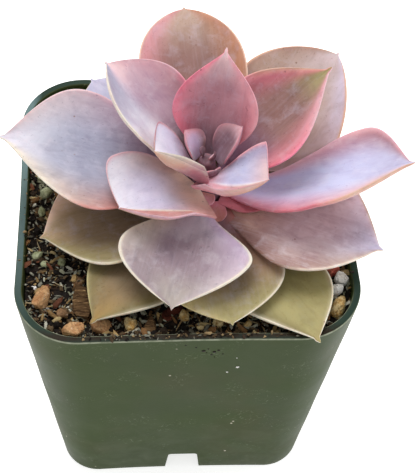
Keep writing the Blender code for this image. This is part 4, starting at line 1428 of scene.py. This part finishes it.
# %% [markdown]
# ## Floor, light and camera
#
# The plant was photographed on white in broad, soft daylight. A pale floor that gives off a little light
# stays white right up to the pot, a pale sky lights everything evenly, and a large lamp above and behind
# makes the leaf rims glow.

# %% Floor
FLOOR_RINGS = 10
FLOOR_SIDES = 64


def lay_floor():
    """A round floor, far larger than the view."""
    radius = np.linspace(0.02, 4, FLOOR_RINGS)[:, None]
    around = round_angles(FLOOR_SIDES)[None, :]
    x, y = radius * np.cos(around), radius * np.sin(around)
    points = np.vstack([np.stack([x, y, np.zeros_like(x)], -1).reshape(-1, 3), (0, 0, 0)])
    faces = ring_faces(FLOOR_RINGS, FLOOR_SIDES)[:, ::-1]
    return object_from("pale_floor", points, faces, fan_faces(0, FLOOR_SIDES, len(points) - 1))


floor = lay_floor()
floor_finish = Finish("pale_floor_finish", Roughness=0.9, Specular_IOR_Level=0.1, Emission_Strength=0.7,
                      Base_Color=(0.9, 0.9, 0.9, 1), Emission_Color=(1, 1, 1, 1))
floor.data.materials.append(floor_finish.material)
print("floor laid")

# %% Light
ROSETTE = (0.0, 0.0, 0.11)


def soft_lamp(name, place, size, watts, colour):
    """A square lamp that faces the rosette."""
    lamp = bpy.data.lights.new(name, "AREA")
    lamp.size, lamp.energy, lamp.color = size, watts, colour
    obj = bpy.data.objects.new(name, lamp)
    obj.location = place
    obj.rotation_euler = (Vector(ROSETTE) - Vector(place)).to_track_quat("-Z", "Y").to_euler()
    bpy.context.scene.collection.objects.link(obj)


sky = bpy.data.worlds.new("pale_sky")
sky.use_nodes = True
sky.node_tree.nodes["Background"].inputs["Color"].default_value = (1.0, 1.0, 1.0, 1)
sky.node_tree.nodes["Background"].inputs["Strength"].default_value = 0.50
bpy.context.scene.world = sky
soft_lamp("window_above", (-0.12, 0.30, 0.75), 0.45, 4.0, (1.0, 0.985, 0.96))
soft_lamp("side_fill", (0.60, 0.05, 0.35), 0.4, 1.3, (0.95, 0.97, 1.0))
bpy.context.scene.view_settings.view_transform = "Standard"

# %% [markdown]
# ### The photographer's place
#
# The camera stands a little left of the front, looks down by 53.7 degrees from 40 cm away, and is tilted 4
# degrees. Its three axes follow from those angles, and together they are the camera's matrix.

# %% Camera
YAW, ELEVATION, TILT = math.radians(-6.0), math.radians(53.7), math.radians(4.0)
DISTANCE = 0.3961
SENSOR, LENS = 36, 95.7
LOOK_AT = np.array([0.00247, -0.0015, 0.07998])
flat = math.cos(ELEVATION)
back = np.array([math.sin(YAW) * flat, -math.cos(YAW) * flat, math.sin(ELEVATION)])
level = np.array([math.cos(YAW), math.sin(YAW), 0])
upright = np.cross(back, level)
right = math.cos(TILT) * level + math.sin(TILT) * upright
top = -math.sin(TILT) * level + math.cos(TILT) * upright
place = LOOK_AT + back * DISTANCE
camera = bpy.data.objects.new("photographer", bpy.data.cameras.new("photographer"))
camera.data.sensor_width, camera.data.lens = SENSOR, LENS
camera.data.clip_start = 0.01
camera.matrix_world = Matrix([*np.column_stack([right, top, back, place]).tolist(), [0, 0, 0, 1]])
bpy.context.scene.collection.objects.link(camera)
bpy.context.scene.camera = camera
print("camera at", np.round(place * 1000).tolist(), "mm")

# %% [markdown]
# The looks must not have grown out of the imported model's box.
